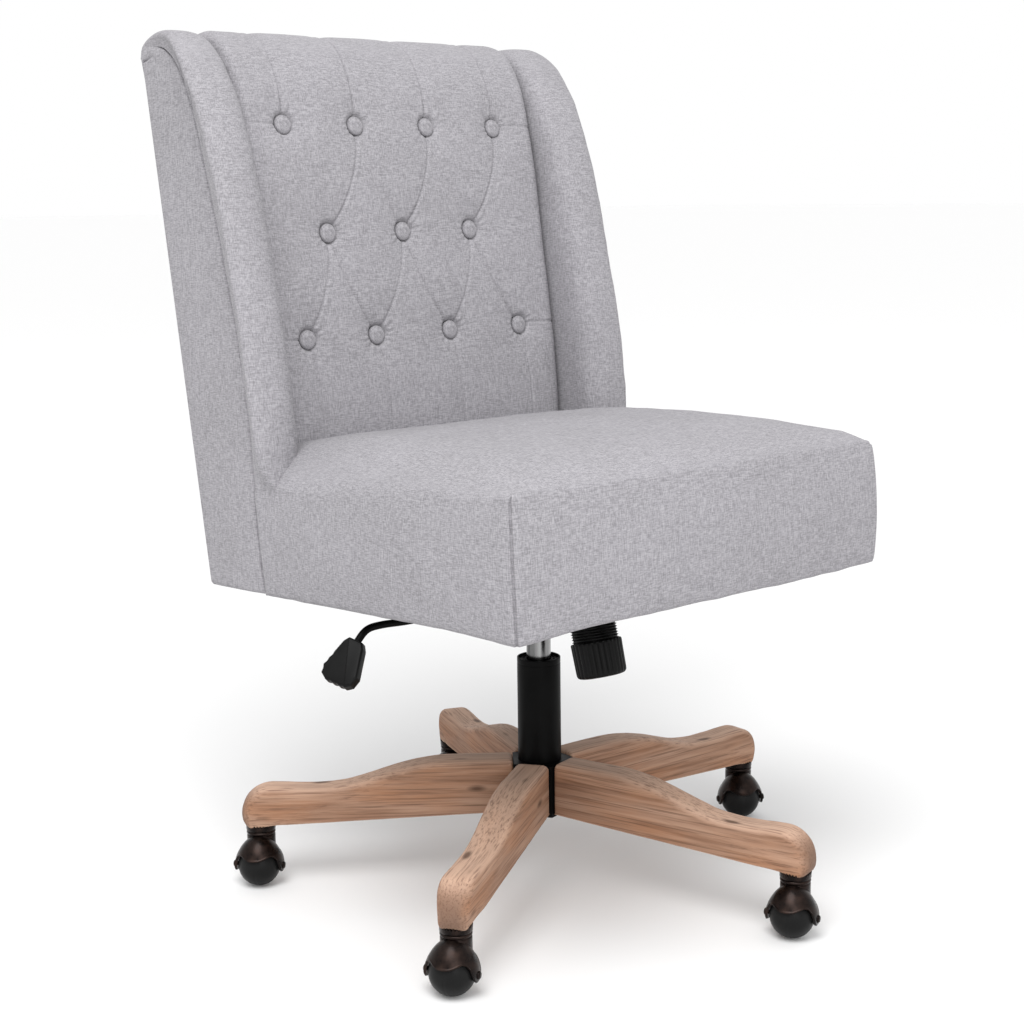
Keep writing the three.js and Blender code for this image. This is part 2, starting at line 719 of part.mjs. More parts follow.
function backShellGeometry() {
  const side = shapeOf([...seamPoints(), [318, 985], [334, 982], [345, 974], [346, 960], [273, SEAT_BASE]]);
  const body = acrossX(side, -HALF_WIDTH, HALF_WIDTH);
  const hollow = shapeOf([[100, 300], [265 - REAR_WALL, 300], [354 - REAR_WALL, 1030], [100, 1030]]);
  return cut(body, acrossX(hollow, -INNER_HALF_WIDTH, INNER_HALF_WIDTH));
}

// tufted pad: its face leans back and rolls over the top
function backPadOutline() {
  const shape = new THREE.Shape();
  const rearGap = REAR_WALL + 1;
  shape.moveTo(188.5, 364);
  shape.lineTo(187, 552);
  shape.splineThru([
    new THREE.Vector2(193, 637),
    new THREE.Vector2(204, 727),
    new THREE.Vector2(213, 822),
    new THREE.Vector2(222, 885),
    new THREE.Vector2(236, 937),
    new THREE.Vector2(260, 977),
    new THREE.Vector2(296, 991),
  ]);
  shape.lineTo(349 - rearGap, 987);
  shape.lineTo(273.5 - rearGap, 364);
  return shape;
}

function buttonPlaces() {
  const places = [];
  for (const row of BUTTON_ROWS) {
    for (const column of row.columns) {
      places.push(new THREE.Vector3(column * BUTTON_PITCH, row.y, row.z));
    }
  }
  return places;
}

// turns a geometry made along +Z to face out of the leaning back, centred on a button's place
function facingSitter(geometry, place) {
  return geometry.rotateX(THREE.MathUtils.degToRad(90 - BACK_LEAN)).translate(place.x, place.y, place.z);
}

function backPadGeometry() {
  const inner = INNER_HALF_WIDTH - GAP;
  const pad = acrossX(backPadOutline(), -inner, inner);
  const dimple = [[0, -3.3], [13, -3.3], [15, 3], [27, 22], [0, 22]];
  const dimples = buttonPlaces().map((place) => facingSitter(turned(dimple, 8), place));
  return cut(pad, ...dimples);
}

function buttonGeometry(place) {
  const profile = [[0, -3], [BUTTON_RADIUS - 1, -3], [BUTTON_RADIUS, -1], [BUTTON_RADIUS - 2.5, 2], [0, 3]];
  return facingSitter(turned(profile, 10), place);
}

// padded front roll of one side, standing proud of the side panel and of the tufted pad
function wingGeometry(side) {
  const outer = HALF_WIDTH + WING_BULGE;
  const rounding = [
    [HALF_WIDTH, 0],
    [outer, 0.25],
    [outer, 0.8],
    [outer - 8, 0.95],
    [outer - 20, 1],
    [INNER_HALF_WIDTH + 19, 1],
    [INNER_HALF_WIDTH + 5, 0.9],
    [INNER_HALF_WIDTH, 0.75],
    [INNER_HALF_WIDTH, 0],
  ];
  const vertices = [];
  for (const [seamY, seamZ, frontY, frontZ] of WING_STATIONS) {
    for (const [x, part] of rounding) {
      const rearY = seamY - GAP;
      vertices.push(x, rearY + (frontY - rearY) * part, seamZ + (frontZ - seamZ) * part);
    }
  }
  const wing = throughSections(vertices, rounding.length);
  return side > 0 ? wing : mirrored(wing);
}

// closed body through a row of sections that all have the same number of corners
function throughSections(vertices, corners) {
  const sections = vertices.length / 3 / corners;
  const faces = [];
  for (let section = 1; section < sections; section++) {
    for (let corner = 0; corner < corners; corner++) {
      const next = (corner + 1) % corners;
      const low = (section - 1) * corners;
      const high = section * corners;
      faces.push(low + corner, high + next, low + next);
      faces.push(low + corner, high + corner, high + next);
    }
  }
  const last = (sections - 1) * corners;
  for (let corner = 1; corner < corners - 1; corner++) {
    faces.push(0, corner, corner + 1);
    faces.push(last, last + corner + 1, last + corner);
  }
  const geometry = new THREE.BufferGeometry();
  geometry.setAttribute('position', new THREE.Float32BufferAttribute(vertices, 3));
  geometry.setIndex(faces);
  geometry.computeVertexNormals();
  return geometry;
}

function mirrored(geometry) {
  const flipped = geometry.clone().scale(-1, 1, 1);
  const index = flipped.index.array;
  for (let i = 0; i < index.length; i += 3) {
    [index[i + 1], index[i + 2]] = [index[i + 2], index[i + 1]];
  }
  flipped.computeVertexNormals();
  return flipped;
}

function addBack(seat) {
  seat.add(
    piece('back_shell', backShellGeometry(), paleFabric),
    piece('back_pad', backPadGeometry(), paleFabric),
    piece('wing_left', wingGeometry(1), paleFabric),
    piece('wing_right', wingGeometry(-1), paleFabric),
  );
  buttonPlaces().forEach((place, index) => {
    seat.add(piece(`button_${index + 1}`, buttonGeometry(place), paleFabric));
  });
}

// ---------- the chair ----------

const chair = new THREE.Group();
addColumn(chair);
for (let index = 0; index < LEG_COUNT; index++) {
  addCasterAndLeg(chair, index);
}
addMechanism(chair);
addLever(chair);

const leaning = new THREE.Group();
leaning.position.z = SEAT_BASE;
leaning.rotation.x = -THREE.MathUtils.degToRad(SEAT_LEAN);
const seat = new THREE.Group();
seat.position.z = -SEAT_BASE;
addSeat(seat);
addBack(seat);
leaning.add(seat);
chair.add(leaning);

export default chair;
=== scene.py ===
# Swivel office chair: the looks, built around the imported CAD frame.
# Shapes are written in millimetres, as in the CAD source, and MM turns them into Blender's metres.
import math
import bmesh
import bpy
import numpy as np
from mathutils import Matrix, Vector, noise


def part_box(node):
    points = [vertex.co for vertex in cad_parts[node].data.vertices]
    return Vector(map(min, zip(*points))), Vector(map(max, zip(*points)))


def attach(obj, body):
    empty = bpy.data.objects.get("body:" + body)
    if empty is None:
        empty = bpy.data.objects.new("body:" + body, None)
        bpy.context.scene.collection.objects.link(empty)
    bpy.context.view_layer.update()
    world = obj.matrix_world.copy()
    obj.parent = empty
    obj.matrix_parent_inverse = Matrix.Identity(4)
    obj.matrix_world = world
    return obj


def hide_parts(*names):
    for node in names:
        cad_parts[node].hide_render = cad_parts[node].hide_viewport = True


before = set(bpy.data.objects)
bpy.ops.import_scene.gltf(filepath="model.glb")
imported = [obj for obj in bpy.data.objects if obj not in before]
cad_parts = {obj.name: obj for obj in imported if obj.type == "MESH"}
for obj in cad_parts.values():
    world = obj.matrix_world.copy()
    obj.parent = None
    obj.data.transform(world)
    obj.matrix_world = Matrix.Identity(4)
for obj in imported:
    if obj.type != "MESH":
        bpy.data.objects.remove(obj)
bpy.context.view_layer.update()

MM = 0.001
TURN = math.tau

# ---------- the chair's frame, in millimetres as in the CAD source ----------

SEAT_BASE = 358.7
SEAT_LEAN = math.radians(3.03)
HALF_WIDTH = 264.5
INNER_HALF_WIDTH = 219
FIRST_LEG_ANGLE = 141.4
CASTER_CIRCLE_RADIUS = 325.6
CASTER_HEADINGS = [222, 209.5, 206, 236, 215]
CASTER_TRAIL = 12
BALL_RADIUS = 24.2
KNOB_TOP = Vector((0, -96, 298))
KNOB_LEAN = math.radians(15)

seat_base = Matrix.Translation((0, 0, SEAT_BASE * MM))
seat_place = seat_base @ Matrix.Rotation(-SEAT_LEAN, 4, "X") @ seat_base.inverted()


def link_new(name, data):
    """A new object of the scene."""
    thing = bpy.data.objects.new(name, data)
    bpy.context.scene.collection.objects.link(thing)
    return thing


# ---------- camera ----------

CAMERA_PLACE = (-1.328, -1.5071, 0.7843)  # metres
CAMERA_LENS = 63.17
CAMERA_YAW, CAMERA_PITCH, CAMERA_ROLL = 40.57, -9.97, -0.74  # degrees


def make_camera():
    data = bpy.data.cameras.new("camera")
    data.sensor_width = 36
    data.lens = CAMERA_LENS
    camera = link_new("camera", data)
    yaw, pitch, roll = (math.radians(angle) for angle in (CAMERA_YAW, CAMERA_PITCH, CAMERA_ROLL))
    forward = Vector((math.sin(yaw) * math.cos(pitch), math.cos(yaw) * math.cos(pitch), math.sin(pitch)))
    level = Vector((math.cos(yaw), -math.sin(yaw), 0))
    upright = level.cross(forward)
    right = level * math.cos(roll) + upright * math.sin(roll)
    up = upright * math.cos(roll) - level * math.sin(roll)
    turn = Matrix((right, up, -forward)).transposed().to_4x4()
    camera.matrix_world = Matrix.Translation(CAMERA_PLACE) @ turn
    bpy.context.scene.camera = camera


make_camera()


# ---------- materials ----------

class Shading:
    """A material with one Principled shader and short ways to add nodes to it."""

    def __init__(self, name, roughness, metallic=0.0, **more):
        self.material = bpy.data.materials.new(name)
        self.material.use_nodes = True
        self.tree = self.material.node_tree
        self.shader = self.tree.nodes["Principled BSDF"]
        self.shader.inputs["Roughness"].default_value = roughness
        self.shader.inputs["Metallic"].default_value = metallic
        for socket, value in more.items():
            self.shader.inputs[socket.replace("_", " ")].default_value = value
        self.place = self.add("ShaderNodeTexCoord").outputs["Object"]

    def add(self, kind, inputs=None, **settings):
        node = self.tree.nodes.new(kind)
        for name, value in settings.items():
            setattr(node, name, value)
        for key, value in (inputs or {}).items():
            if isinstance(value, bpy.types.NodeSocket):
                self.tree.links.new(value, node.inputs[key])
            else:
                node.inputs[key].default_value = value
        return node

    def noise(self, stretch, detail=2.0, roughness=0.5, distortion=0.0):
        """Noise whose grains are 1 / stretch metres along each axis."""
        mapping = self.add("ShaderNodeMapping", {"Vector": self.place, "Scale": stretch})
        inputs = {"Vector": mapping.outputs[0], "Scale": 1.0, "Detail": detail,
                  "Roughness": roughness, "Distortion": distortion}
        return self.add("ShaderNodeTexNoise", inputs).outputs[0]

    def math(self, operation, a, b=0.0):
        return self.add("ShaderNodeMath", {0: a, 1: b}, operation=operation).outputs[0]

    def spread(self, value, low, high, to_low=0.0, to_high=1.0):
        inputs = {"Value": value, "From Min": low, "From Max": high, "To Min": to_low, "To Max": to_high}
        return self.add("ShaderNodeMapRange", inputs).outputs[0]

    def mix(self, factor, a, b):
        node = self.add("ShaderNodeMix", data_type="RGBA")
        for socket, value in ((node.inputs[0], factor), (node.inputs[6], a), (node.inputs[7], b)):
            if isinstance(value, bpy.types.NodeSocket):
                self.tree.links.new(value, socket)
            elif socket.type == "RGBA":
                socket.default_value = (*value, 1)
            else:
                socket.default_value = value
        return node.outputs[2]

    def upward(self):
        """0 on a wall, 1 on a level top or underside."""
        normal = self.add("ShaderNodeNewGeometry").outputs["Normal"]
        level = self.add("ShaderNodeSeparateXYZ", {0: normal}).outputs["Z"]
        return self.math("MULTIPLY", level, level)

    def finish(self, color, bump=None, strength=0.3, depth=0.0005, roughness=None):
        self.tree.links.new(color, self.shader.inputs["Base Color"])
        if roughness is not None:
            self.tree.links.new(roughness, self.shader.inputs["Roughness"])
        if bump is not None:
            node = self.add("ShaderNodeBump", {"Height": bump, "Strength": strength, "Distance": depth})
            self.tree.links.new(node.outputs[0], self.shader.inputs["Normal"])
        return self.material


def linen():
    """Pale grey woven cloth: fine crossed threads with thicker slubs among them."""
    s = Shading("linen", 0.95, Sheen_Weight=0.08, Sheen_Roughness=0.5, Specular_IOR_Level=0.12)
    dark_thread, pale_thread = (0.177, 0.171, 0.184), (0.390, 0.379, 0.402)
    dark_cloud, pale_cloud = (0.263, 0.256, 0.268), (0.32, 0.311, 0.33)
    facing_up = s.spread(s.upward(), 0.3, 0.7)

    def crossed(fine, long, detail):
        """Noise drawn out both ways over a wall, and both ways over a level top."""
        wall = s.math("ADD", s.noise((fine, fine, long), detail), s.noise((long, long, fine), detail))
        top = s.math("ADD", s.noise((fine, long, fine), detail), s.noise((long, fine, fine), detail))
        return s.add("ShaderNodeMix", {0: facing_up, 2: wall, 3: top}, data_type="FLOAT").outputs[0]

    threads, slubs = crossed(1200, 150, 2), crossed(560, 60, 1)
    weave = s.math("ADD", s.math("MULTIPLY", threads, 0.8), s.math("MULTIPLY", slubs, 0.2))
    tone = s.spread(weave, 0.80, 1.20)
    color = s.mix(tone, dark_thread, pale_thread)
    cloudy = s.spread(s.noise((9, 9, 9), 2), 0.35, 0.65)
    color = s.mix(0.25, color, s.mix(cloudy, dark_cloud, pale_cloud))
    return s.finish(color, weave, 0.55, 0.0004)


def weathered_wood():
    """Washed light wood, its grain along X: streaks, orange patches, pores, a few knots; level faces paler,
    partly a real grey wash and partly painted light; painted shade on the nose.
    """
    s = Shading("weathered_wood", 0.66, Specular_IOR_Level=0.22)
    brown, tan, ring_brown = (0.215, 0.112, 0.068), (0.40, 0.24, 0.16), (0.24, 0.115, 0.062)
    orange = (0.40, 0.185, 0.09)
    pale_wash, top_wash_and_painted_light = (0.49, 0.325, 0.235), (0.64, 0.44, 0.33)
    nose_painted_shade, pore, knot = (0.17, 0.105, 0.075), (0.11, 0.055, 0.035), (0.06, 0.028, 0.016)
    streaks = s.noise((6, 130, 150), 5, 0.6, 0.4)
    lines = s.spread(s.noise((9, 520, 520), 3, 0.6), 0.50, 0.66)
    bands = s.noise((2.2, 22, 28), 2, 0.5, 1.0)
    rings = s.math("SINE", s.math("MULTIPLY", bands, 60.0))
    color = s.mix(s.spread(streaks, 0.32, 0.68), brown, tan)
    color = s.mix(s.spread(rings, 0.3, 1.0, 0.0, 0.22), color, ring_brown)
    wash = s.spread(s.noise((6, 50, 50), 4), 0.46, 0.68, 0.0, 0.45)
    color = s.mix(wash, color, pale_wash)
    color = s.mix(s.spread(s.noise((6, 26, 26), 3), 0.5, 0.62, 0.0, 0.4), color, orange)
    # paler level faces: partly a real grey wash on the wood, partly painted light that makes up for the
    # seat's shadow on the leg tops
    color = s.mix(s.spread(s.upward(), 0.05, 0.7, 0.0, 0.55), color, top_wash_and_painted_light)
    facing = s.add("ShaderNodeSeparateXYZ", {0: s.add("ShaderNodeTexCoord").outputs["Normal"]}).outputs["X"]
    # painted shade: faces turned towards the leg's nose are darkened to hold back the light they catch
    color = s.mix(s.spread(facing, 0.3, 0.95, 0.0, 0.85), color, nose_painted_shade)
    color = s.mix(s.math("MULTIPLY", lines, 0.6), color, pore)
    spread_out = {"Vector": s.place, "Scale": (8, 24, 24), "Location": (0.4, 0.2, 0.1)}
    spot_place = s.add("ShaderNodeMapping", spread_out)
    spots = s.add("ShaderNodeTexVoronoi", {"Vector": spot_place.outputs[0], "Scale": 1.0}).outputs["Distance"]
    knots = s.spread(spots, 0.05, 0.12, 0.8, 0.0)
    color = s.mix(knots, color, knot)
    return s.finish(color, streaks, 0.45, 0.0006)


def bronze():
    s = Shading("dark_bronze", 0.36, 0.85)
    cloudy = s.spread(s.noise((75, 75, 75), 4), 0.38, 0.66)
    color = s.mix(cloudy, (0.008, 0.0055, 0.005), (0.029, 0.0175, 0.014))
    return s.finish(color, s.noise((700, 700, 700), 3), 0.10, 0.0002, s.spread(cloudy, 0, 1, 0.24, 0.42))


def moulded_plastic(name, tone, roughness):
    s = Shading(name, roughness, Specular_IOR_Level=0.12)
    cloudy = s.spread(s.noise((40, 40, 40), 3), 0.3, 0.7)
    color = s.mix(cloudy, (tone * 0.7,) * 3, (tone * 1.3,) * 3)
    grain = s.noise((1600, 1600, 1600), 2)
    return s.finish(color, grain, 0.12, 0.0002, s.spread(cloudy, 0, 1, roughness - 0.06, roughness + 0.08))


def powder_coat():
    s = Shading("black_powder_coat", 0.4, Specular_IOR_Level=0.05)
    cloudy = s.spread(s.noise((30, 30, 30), 3), 0.3, 0.7)
    color = s.mix(cloudy, (0.002, 0.002, 0.002), (0.004, 0.004, 0.004))
    specks = s.noise((600, 600, 600), 1)
    return s.finish(color, specks, 0.08, 0.00015, s.spread(cloudy, 0, 1, 0.34, 0.46))


def polished_steel(name, tone, roughness):
    """Steel with painted reflections: faint light and dark bands along its axis stand in for the surroundings
    mirrored in it.
    """
    s = Shading(name, roughness, 1.0)
    # painted reflection: bands round the axis, drawn out along it, stand in for dark surroundings mirrored in
    # the steel
    bands = s.noise((75, 75, 2), 3)
    color = s.mix(s.spread(bands, 0.38, 0.62), (tone * 0.45,) * 3, (tone * 1.5,) * 3)
    return s.finish(color, s.noise((40, 40, 2600), 2), 0.05, 0.0001)


def bare_plywood():
    s = Shading("bare_plywood", 0.7)
    layers = s.noise((5, 60, 700), 4)
    color = s.mix(s.spread(layers, 0.35, 0.65), (0.36, 0.23, 0.12), (0.62, 0.45, 0.27))
    return s.finish(color, layers, 0.2)


def black_cloth():
    s = Shading("black_cloth", 0.95, Sheen_Weight=0.1)
    fibres = s.noise((1400, 1400, 1400), 3)
    color = s.mix(s.spread(fibres, 0.35, 0.65), (0.008, 0.008, 0.009), (0.03, 0.03, 0.032))
    return s.finish(color, fibres, 0.5)


fabric = linen()
wood = weathered_wood()
dark_bronze = bronze()
ball_plastic = moulded_plastic("ball_plastic", 0.008, 0.38)
grip_plastic = moulded_plastic("grip_plastic", 0.004, 0.42)
coat = powder_coat()
steel = polished_steel("polished_steel", 0.2, 0.22)
spring_steel = polished_steel("spring_steel", 0.12, 0.4)
plywood = bare_plywood()
under_cloth = black_cloth()


# ---------- mesh helpers ----------

def add_piece(name, vertices, faces, material, body, replaced, place=None, crease=None):
    """A new piece from vertices in millimetres, riding on a body and standing for CAD nodes."""
    mesh = bpy.data.meshes.new(name)
    mesh.from_pydata([tuple(c * MM for c in v) for v in vertices], [], faces)
    work = bmesh.new()
    work.from_mesh(mesh)
    bmesh.ops.recalc_face_normals(work, faces=work.faces)
    work.to_mesh(mesh)
    work.free()
    mesh.shade_smooth()
    if crease:
        mesh.set_sharp_from_angle(angle=math.radians(crease))
    mesh.materials.append(material)
    piece = link_new(name, mesh)
    if place is not None:
        piece.matrix_world = place
    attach(piece, body)
    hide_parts(*replaced)
    return piece


def grid_faces(rows, columns, wrap=False, start=0):
    """Quads over rows x columns vertices; wrap joins the last column to the first."""
    faces = []
    for row in range(rows - 1):
        for column in range(columns if wrap else columns - 1):
            here = start + row * columns + column
            beside = start + row * columns + (column + 1) % columns
            faces.append((here, beside, beside + columns, here + columns))
    return faces


def cap(start, count):
    """One face over a ring of count vertices."""
    return tuple(range(start, start + count))


def band(first, second, count):
    """Quads between two rings of count vertices, given the number of each ring's first vertex."""
    return [(first + k, first + (k + 1) % count, second + (k + 1) % count, second + k) for k in range(count)]


def tube_faces(rows, columns):
    """Faces of a tube of rings, closed at both ends."""
    return grid_faces(rows, columns, wrap=True) + [cap(0, columns), cap((rows - 1) * columns, columns)]


def loop_faces(rows, columns):
    """Faces of a tube whose last ring joins its first."""
    return grid_faces(rows, columns, wrap=True) + band((rows - 1) * columns, 0, columns)


def ring(radius, z, segments):
    """Vertices of a level circle about Z."""
    angles = [k * TURN / segments for k in range(segments)]
    return [(radius * math.cos(angle), radius * math.sin(angle), z) for angle in angles]


def turned(profile, segments, closed=False):
    """Vertices and faces of a profile of (radius, z) turned about Z; closed joins its two ends."""
    vertices = [spot for radius, z in profile for spot in ring(radius, z, segments)]
    make_faces = loop_faces if closed else tube_faces
    return vertices, make_faces(len(profile), segments)


def rounded(profile, radius, steps=4):
    """The same profile with its inner corners rounded off."""
    out = [profile[0]]
    for before, corner, after in zip(profile, profile[1:], profile[2:]):
        corner = Vector(corner)
        back = Vector(before) - corner
        ahead = Vector(after) - corner
        reach = min(radius, back.length * 0.45, ahead.length * 0.45)
        a = corner + back.normalized() * reach
        b = corner + ahead.normalized() * reach
        for k in range(steps + 1):
            t = k / steps
            out.append(tuple(a * (1 - t) ** 2 + corner * 2 * t * (1 - t) + b * t * t))
    out.append(profile[-1])
    return out


def smooth_path(points, count):
    """Catmull-Rom curve through points, sampled evenly in its parameter."""
    points = [Vector(p) for p in points]
    padded = [points[0] * 2 - points[1], *points, points[-1] * 2 - points[-2]]
    out = []
    for k in range(count):
        place = k / (count - 1) * (len(points) - 1)
        span = min(int(place), len(points) - 2)
        t = place - span
        a, b, c, d = padded[span:span + 4]
        out.append(0.5 * (2 * b + (c - a) * t + (2 * a - 5 * b + 4 * c - d) * t * t
                          + (3 * b - 3 * c + d - a) * t ** 3))
    return out


def even_path(points, step):
    """The same polyline resampled at even steps along its length."""
    lengths = [0.0]
    for a, b in zip(points, points[1:]):
        lengths.append(lengths[-1] + (b - a).length)
    count = max(2, round(lengths[-1] / step) + 1)
    out = []
    span = 0
    for k in range(count):
        target = lengths[-1] * k / (count - 1)
        while span < len(points) - 2 and lengths[span + 1] < target:
            span += 1
        part = (target - lengths[span]) / (lengths[span + 1] - lengths[span])
        out.append(points[span].lerp(points[span + 1], clamp(part)))
    return out


def slope_at(path, k):
    """From the point before number k of a path to the point after it."""
    return path[min(k + 1, len(path) - 1)] - path[max(k - 1, 0)]


def left_of(along):
    """Unit vector a quarter turn to the left."""
    return Vector((-along.y, along.x)).normalized()


def slab(outline, half, rounding, steps):
    """A plate from an (x, z) outline, half thick to each side in y; rounding(normal) is its edge radius."""
    count = len(outline)
    normals = []
    for k in range(count):
        along = Vector(outline[(k + 1) % count]) - Vector(outline[k - 1])
        normals.append(Vector((along.y, -along.x)).normalized())
    layers = []
    for side in (-1, 1):
        for k in range(steps + 1):
            angle = (1 - k / steps) * math.pi / 2 if side < 0 else k / steps * math.pi / 2
            layers.append((side, 1 - math.sin(angle), 1 - math.cos(angle)))
    vertices = []
    for side, across, inward in layers:
        for point, normal in zip(outline, normals):
            radius = rounding(normal)
            spot = Vector(point) - normal * radius * inward
            vertices.append((spot.x, side * (half - radius * across), spot.y))
    return vertices, tube_faces(len(layers), count)


def bezier(points, steps):
    """Points of one Bezier curve, its first left out."""
    out = []
    for k in range(1, steps + 1):
        t = k / steps
        level = [Vector(p) for p in points]
        while len(level) > 1:
            level = [a.lerp(b, t) for a, b in zip(level, level[1:])]
        out.append(tuple(level[0]))
    return out


def wrinkle(x, y, z, size):
    """Smooth noise between -1 and 1, with lumps of about size millimetres."""
    return noise.noise(Vector((x / size, y / size, z / size)))


def clamp(value):
    return min(max(value, 0), 1)


def bell(distance, width):
    """1 at no distance, fading to nothing over about twice the width."""
    return math.exp(-(distance / width) ** 2)


def between(table, value):
    """Straight-line lookup in a table of (key, value) rows."""
    keys, values = zip(*table)
    return float(np.interp(value, keys, values))


# ---------- tufted back ----------

PAD_FACE = [(190, 470), (188, 520), (188.5, 560), (193, 637), (203, 727), (212.5, 822), (222, 885),
            (235, 935.5), (257, 972.5), (290, 988.3), (320, 987.8), (339, 980), (346, 966)]
PAD_STEP = 1.5
PAD_HALF = INNER_HALF_WIDTH - 2.0
PAD_STAND_OFF = 3.0
PAD_EDGE = 15  # how far in from its sides the pad rounds off, and how far it drops there
PAD_REAR, PAD_REAR_TOP, PAD_REAR_SLOPE = 322, 975, 0.118
LOW_PLEAT_LENGTH = 125


def pad_face_path():
    return even_path(smooth_path(PAD_FACE, 400), PAD_STEP)


def button_places():
    """(x, place along the face) of each button, top row first."""
    path = pad_face_path()
    places = []
    for number in range(1, 12):
        low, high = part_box(f"button_{number}")
        centre = seat_place.inverted() @ ((Vector(low) + Vector(high)) / 2) / MM
        along = next(k for k, p in enumerate(path) if p.y >= centre.z - 1) * PAD_STEP
        places.append((centre.x, along))
    return places


def pleats(places, top):
    """Each pleat as (start, end, bow, strength at the start, strength at the end)."""
    first, second, third = places[:4], places[4:7], places[7:]
    out = []
    for x, s in first:
        out.append(((x, s), (x, top), 0, 1.0, 1.6))
    for upper, lower in ((0, 0), (1, 0), (1, 1), (2, 1), (2, 2), (3, 2)):
        if lower < upper:
            out.append((first[upper], second[lower], 10, 0.9, 1.0))
            out.append((second[lower], third[upper], -8, 0.8, 0.9))
        else:
            out.append((first[upper], second[lower], -7, 0.4, 0.5))
            out.append((second[lower], third[upper], 8, 0.5, 0.9))
    for x, s in third:
        out.append(((x, s), (x + 7, s - LOW_PLEAT_LENGTH), 4, 0.9, 0.4))
    for row in (first, third):
        for (x, s), side in ((row[0], -1), (row[-1], 1)):
            out.append(((x, s), (side * PAD_HALF, s + 1), 1, 0.55, 0.45))
    return out


def pad_relief(xs, ss):
    """How far the face stands off its smooth curve, in millimetres, over the grid xs by ss."""
    x, s = np.meshgrid(xs, ss)
    relief = np.full(x.shape, PAD_STAND_OFF)
    edge = np.clip((np.abs(x) - (PAD_HALF - PAD_EDGE)) / PAD_EDGE, 0, 1)
    relief -= PAD_EDGE * (1 - np.sqrt(1 - 0.99 * edge ** 2))
    for (x0, s0), (x1, s1), bow, strong, weak in pleats(button_places(), ss[-1]):
        a, b = np.array([x0, s0]), np.array([x1, s1])
        length = np.linalg.norm(b - a)
        along = (b - a) / length
        t = ((x - x0) * along[0] + (s - s0) * along[1]) / length
        part = np.clip(t, 0, 1)
        offset = (x - x0) * -along[1] + (s - s0) * along[0] - bow * 4 * t * (1 - t)
        inside = np.clip(t / 0.04, 0, 1) * np.clip((1 - t) / 0.04, 0, 1)
        force = inside * (strong + (weak - strong) * part) * (1 - 0.35 * np.sin(np.pi * part))
        crease = 3.4 * np.exp(-(offset / 1.2) ** 2)
        valley = 1.8 * np.exp(-(offset / 12) ** 2)
        lip = 0.8 * np.exp(-((offset - 3.6) / 2.6) ** 2)
        relief -= force * (crease + valley - lip)
    for x0, s0 in button_places():
        r = np.hypot(x - x0, s - s0)
        turn = np.arctan2(s - s0, x - x0)
        pit = 7.5 * np.exp(-(r / 13.2) ** 6)
        dish = 4.2 * np.exp(-(r / 32) ** 2)
        gathers = 0.7 * np.cos(13 * turn + 3 * np.sin(2 * turn)) * np.exp(-((r - 17) / 6) ** 2)
        relief -= pit + dish
        relief += gathers
    return relief


def add_back_pad():
    path = pad_face_path()
    columns = round(2 * PAD_HALF / PAD_STEP) + 1
    xs = np.linspace(-PAD_HALF, PAD_HALF, columns)
    ss = np.arange(len(path)) * PAD_STEP
    relief = pad_relief(xs, ss)
    vertices = []
    for row, spot in enumerate(path):
        out = left_of(slope_at(path, row))
        for column in range(columns):
            lump = 0.7 * wrinkle(xs[column], spot.x, spot.y, 42)
            reach = relief[row][column] + lump
            vertices.append((xs[column], spot.x + out.x * reach, spot.y + out.y * reach))
    faces = grid_faces(len(path), columns)
    rear = len(vertices)
    for spot in path:
        depth = PAD_REAR + (min(spot.y, PAD_REAR_TOP) - PAD_REAR_TOP) * PAD_REAR_SLOPE
        for x in (-PAD_HALF, PAD_HALF):
            vertices.append((x, max(depth, spot.x - 4), min(spot.y, 972)))
    for row in range(len(path) - 1):
        near, far = rear + 2 * row, rear + 2 * row + 2
        faces.append((near, near + 1, far + 1, far))
        faces.append((row * columns, near, far, (row + 1) * columns))
        faces.append(((row + 1) * columns - 1, (row + 2) * columns - 1, far + 1, near + 1))
    last = len(path) - 1
    faces.append((*range(columns), rear + 1, rear))
    faces.append((*range(last * columns, (last + 1) * columns), rear + 2 * last + 1, rear + 2 * last))
    pad = add_piece("tufted_pad", vertices, faces, fabric, "seat", ["back_pad"], seat_place)


BUTTON_PROFILE = [(0.4, -4), (10.2, -4), (11.4, -0.8), (10.4, 1.8), (5.5, 3.3), (0.4, 3.7)]
BUTTON_STAND_OFF = 5.2


def add_buttons():
    path = pad_face_path()
    profile = rounded(BUTTON_PROFILE, 2.2)
    for index, (x, along) in enumerate(button_places()):
        row = round(along / PAD_STEP)
        spot = path[row]
        slope = path[row + 3] - path[row - 3]
        lean = math.atan2(slope.x, slope.y)
        vertices, faces = turned(profile, 40)
        out_y, out_z = BUTTON_STAND_OFF * math.cos(lean), BUTTON_STAND_OFF * math.sin(lean)
        stand = Vector((x, spot.x + out_y, spot.y - out_z))
        face_out = Matrix.Rotation(math.pi / 2 - lean, 4, "X")
        place = seat_place @ Matrix.Translation(stand * MM) @ face_out
        name = f"button_{index + 1}"
        add_piece(f"covered_{name}", vertices, faces, fabric, "seat", [name], place)


# ---------- wings ----------

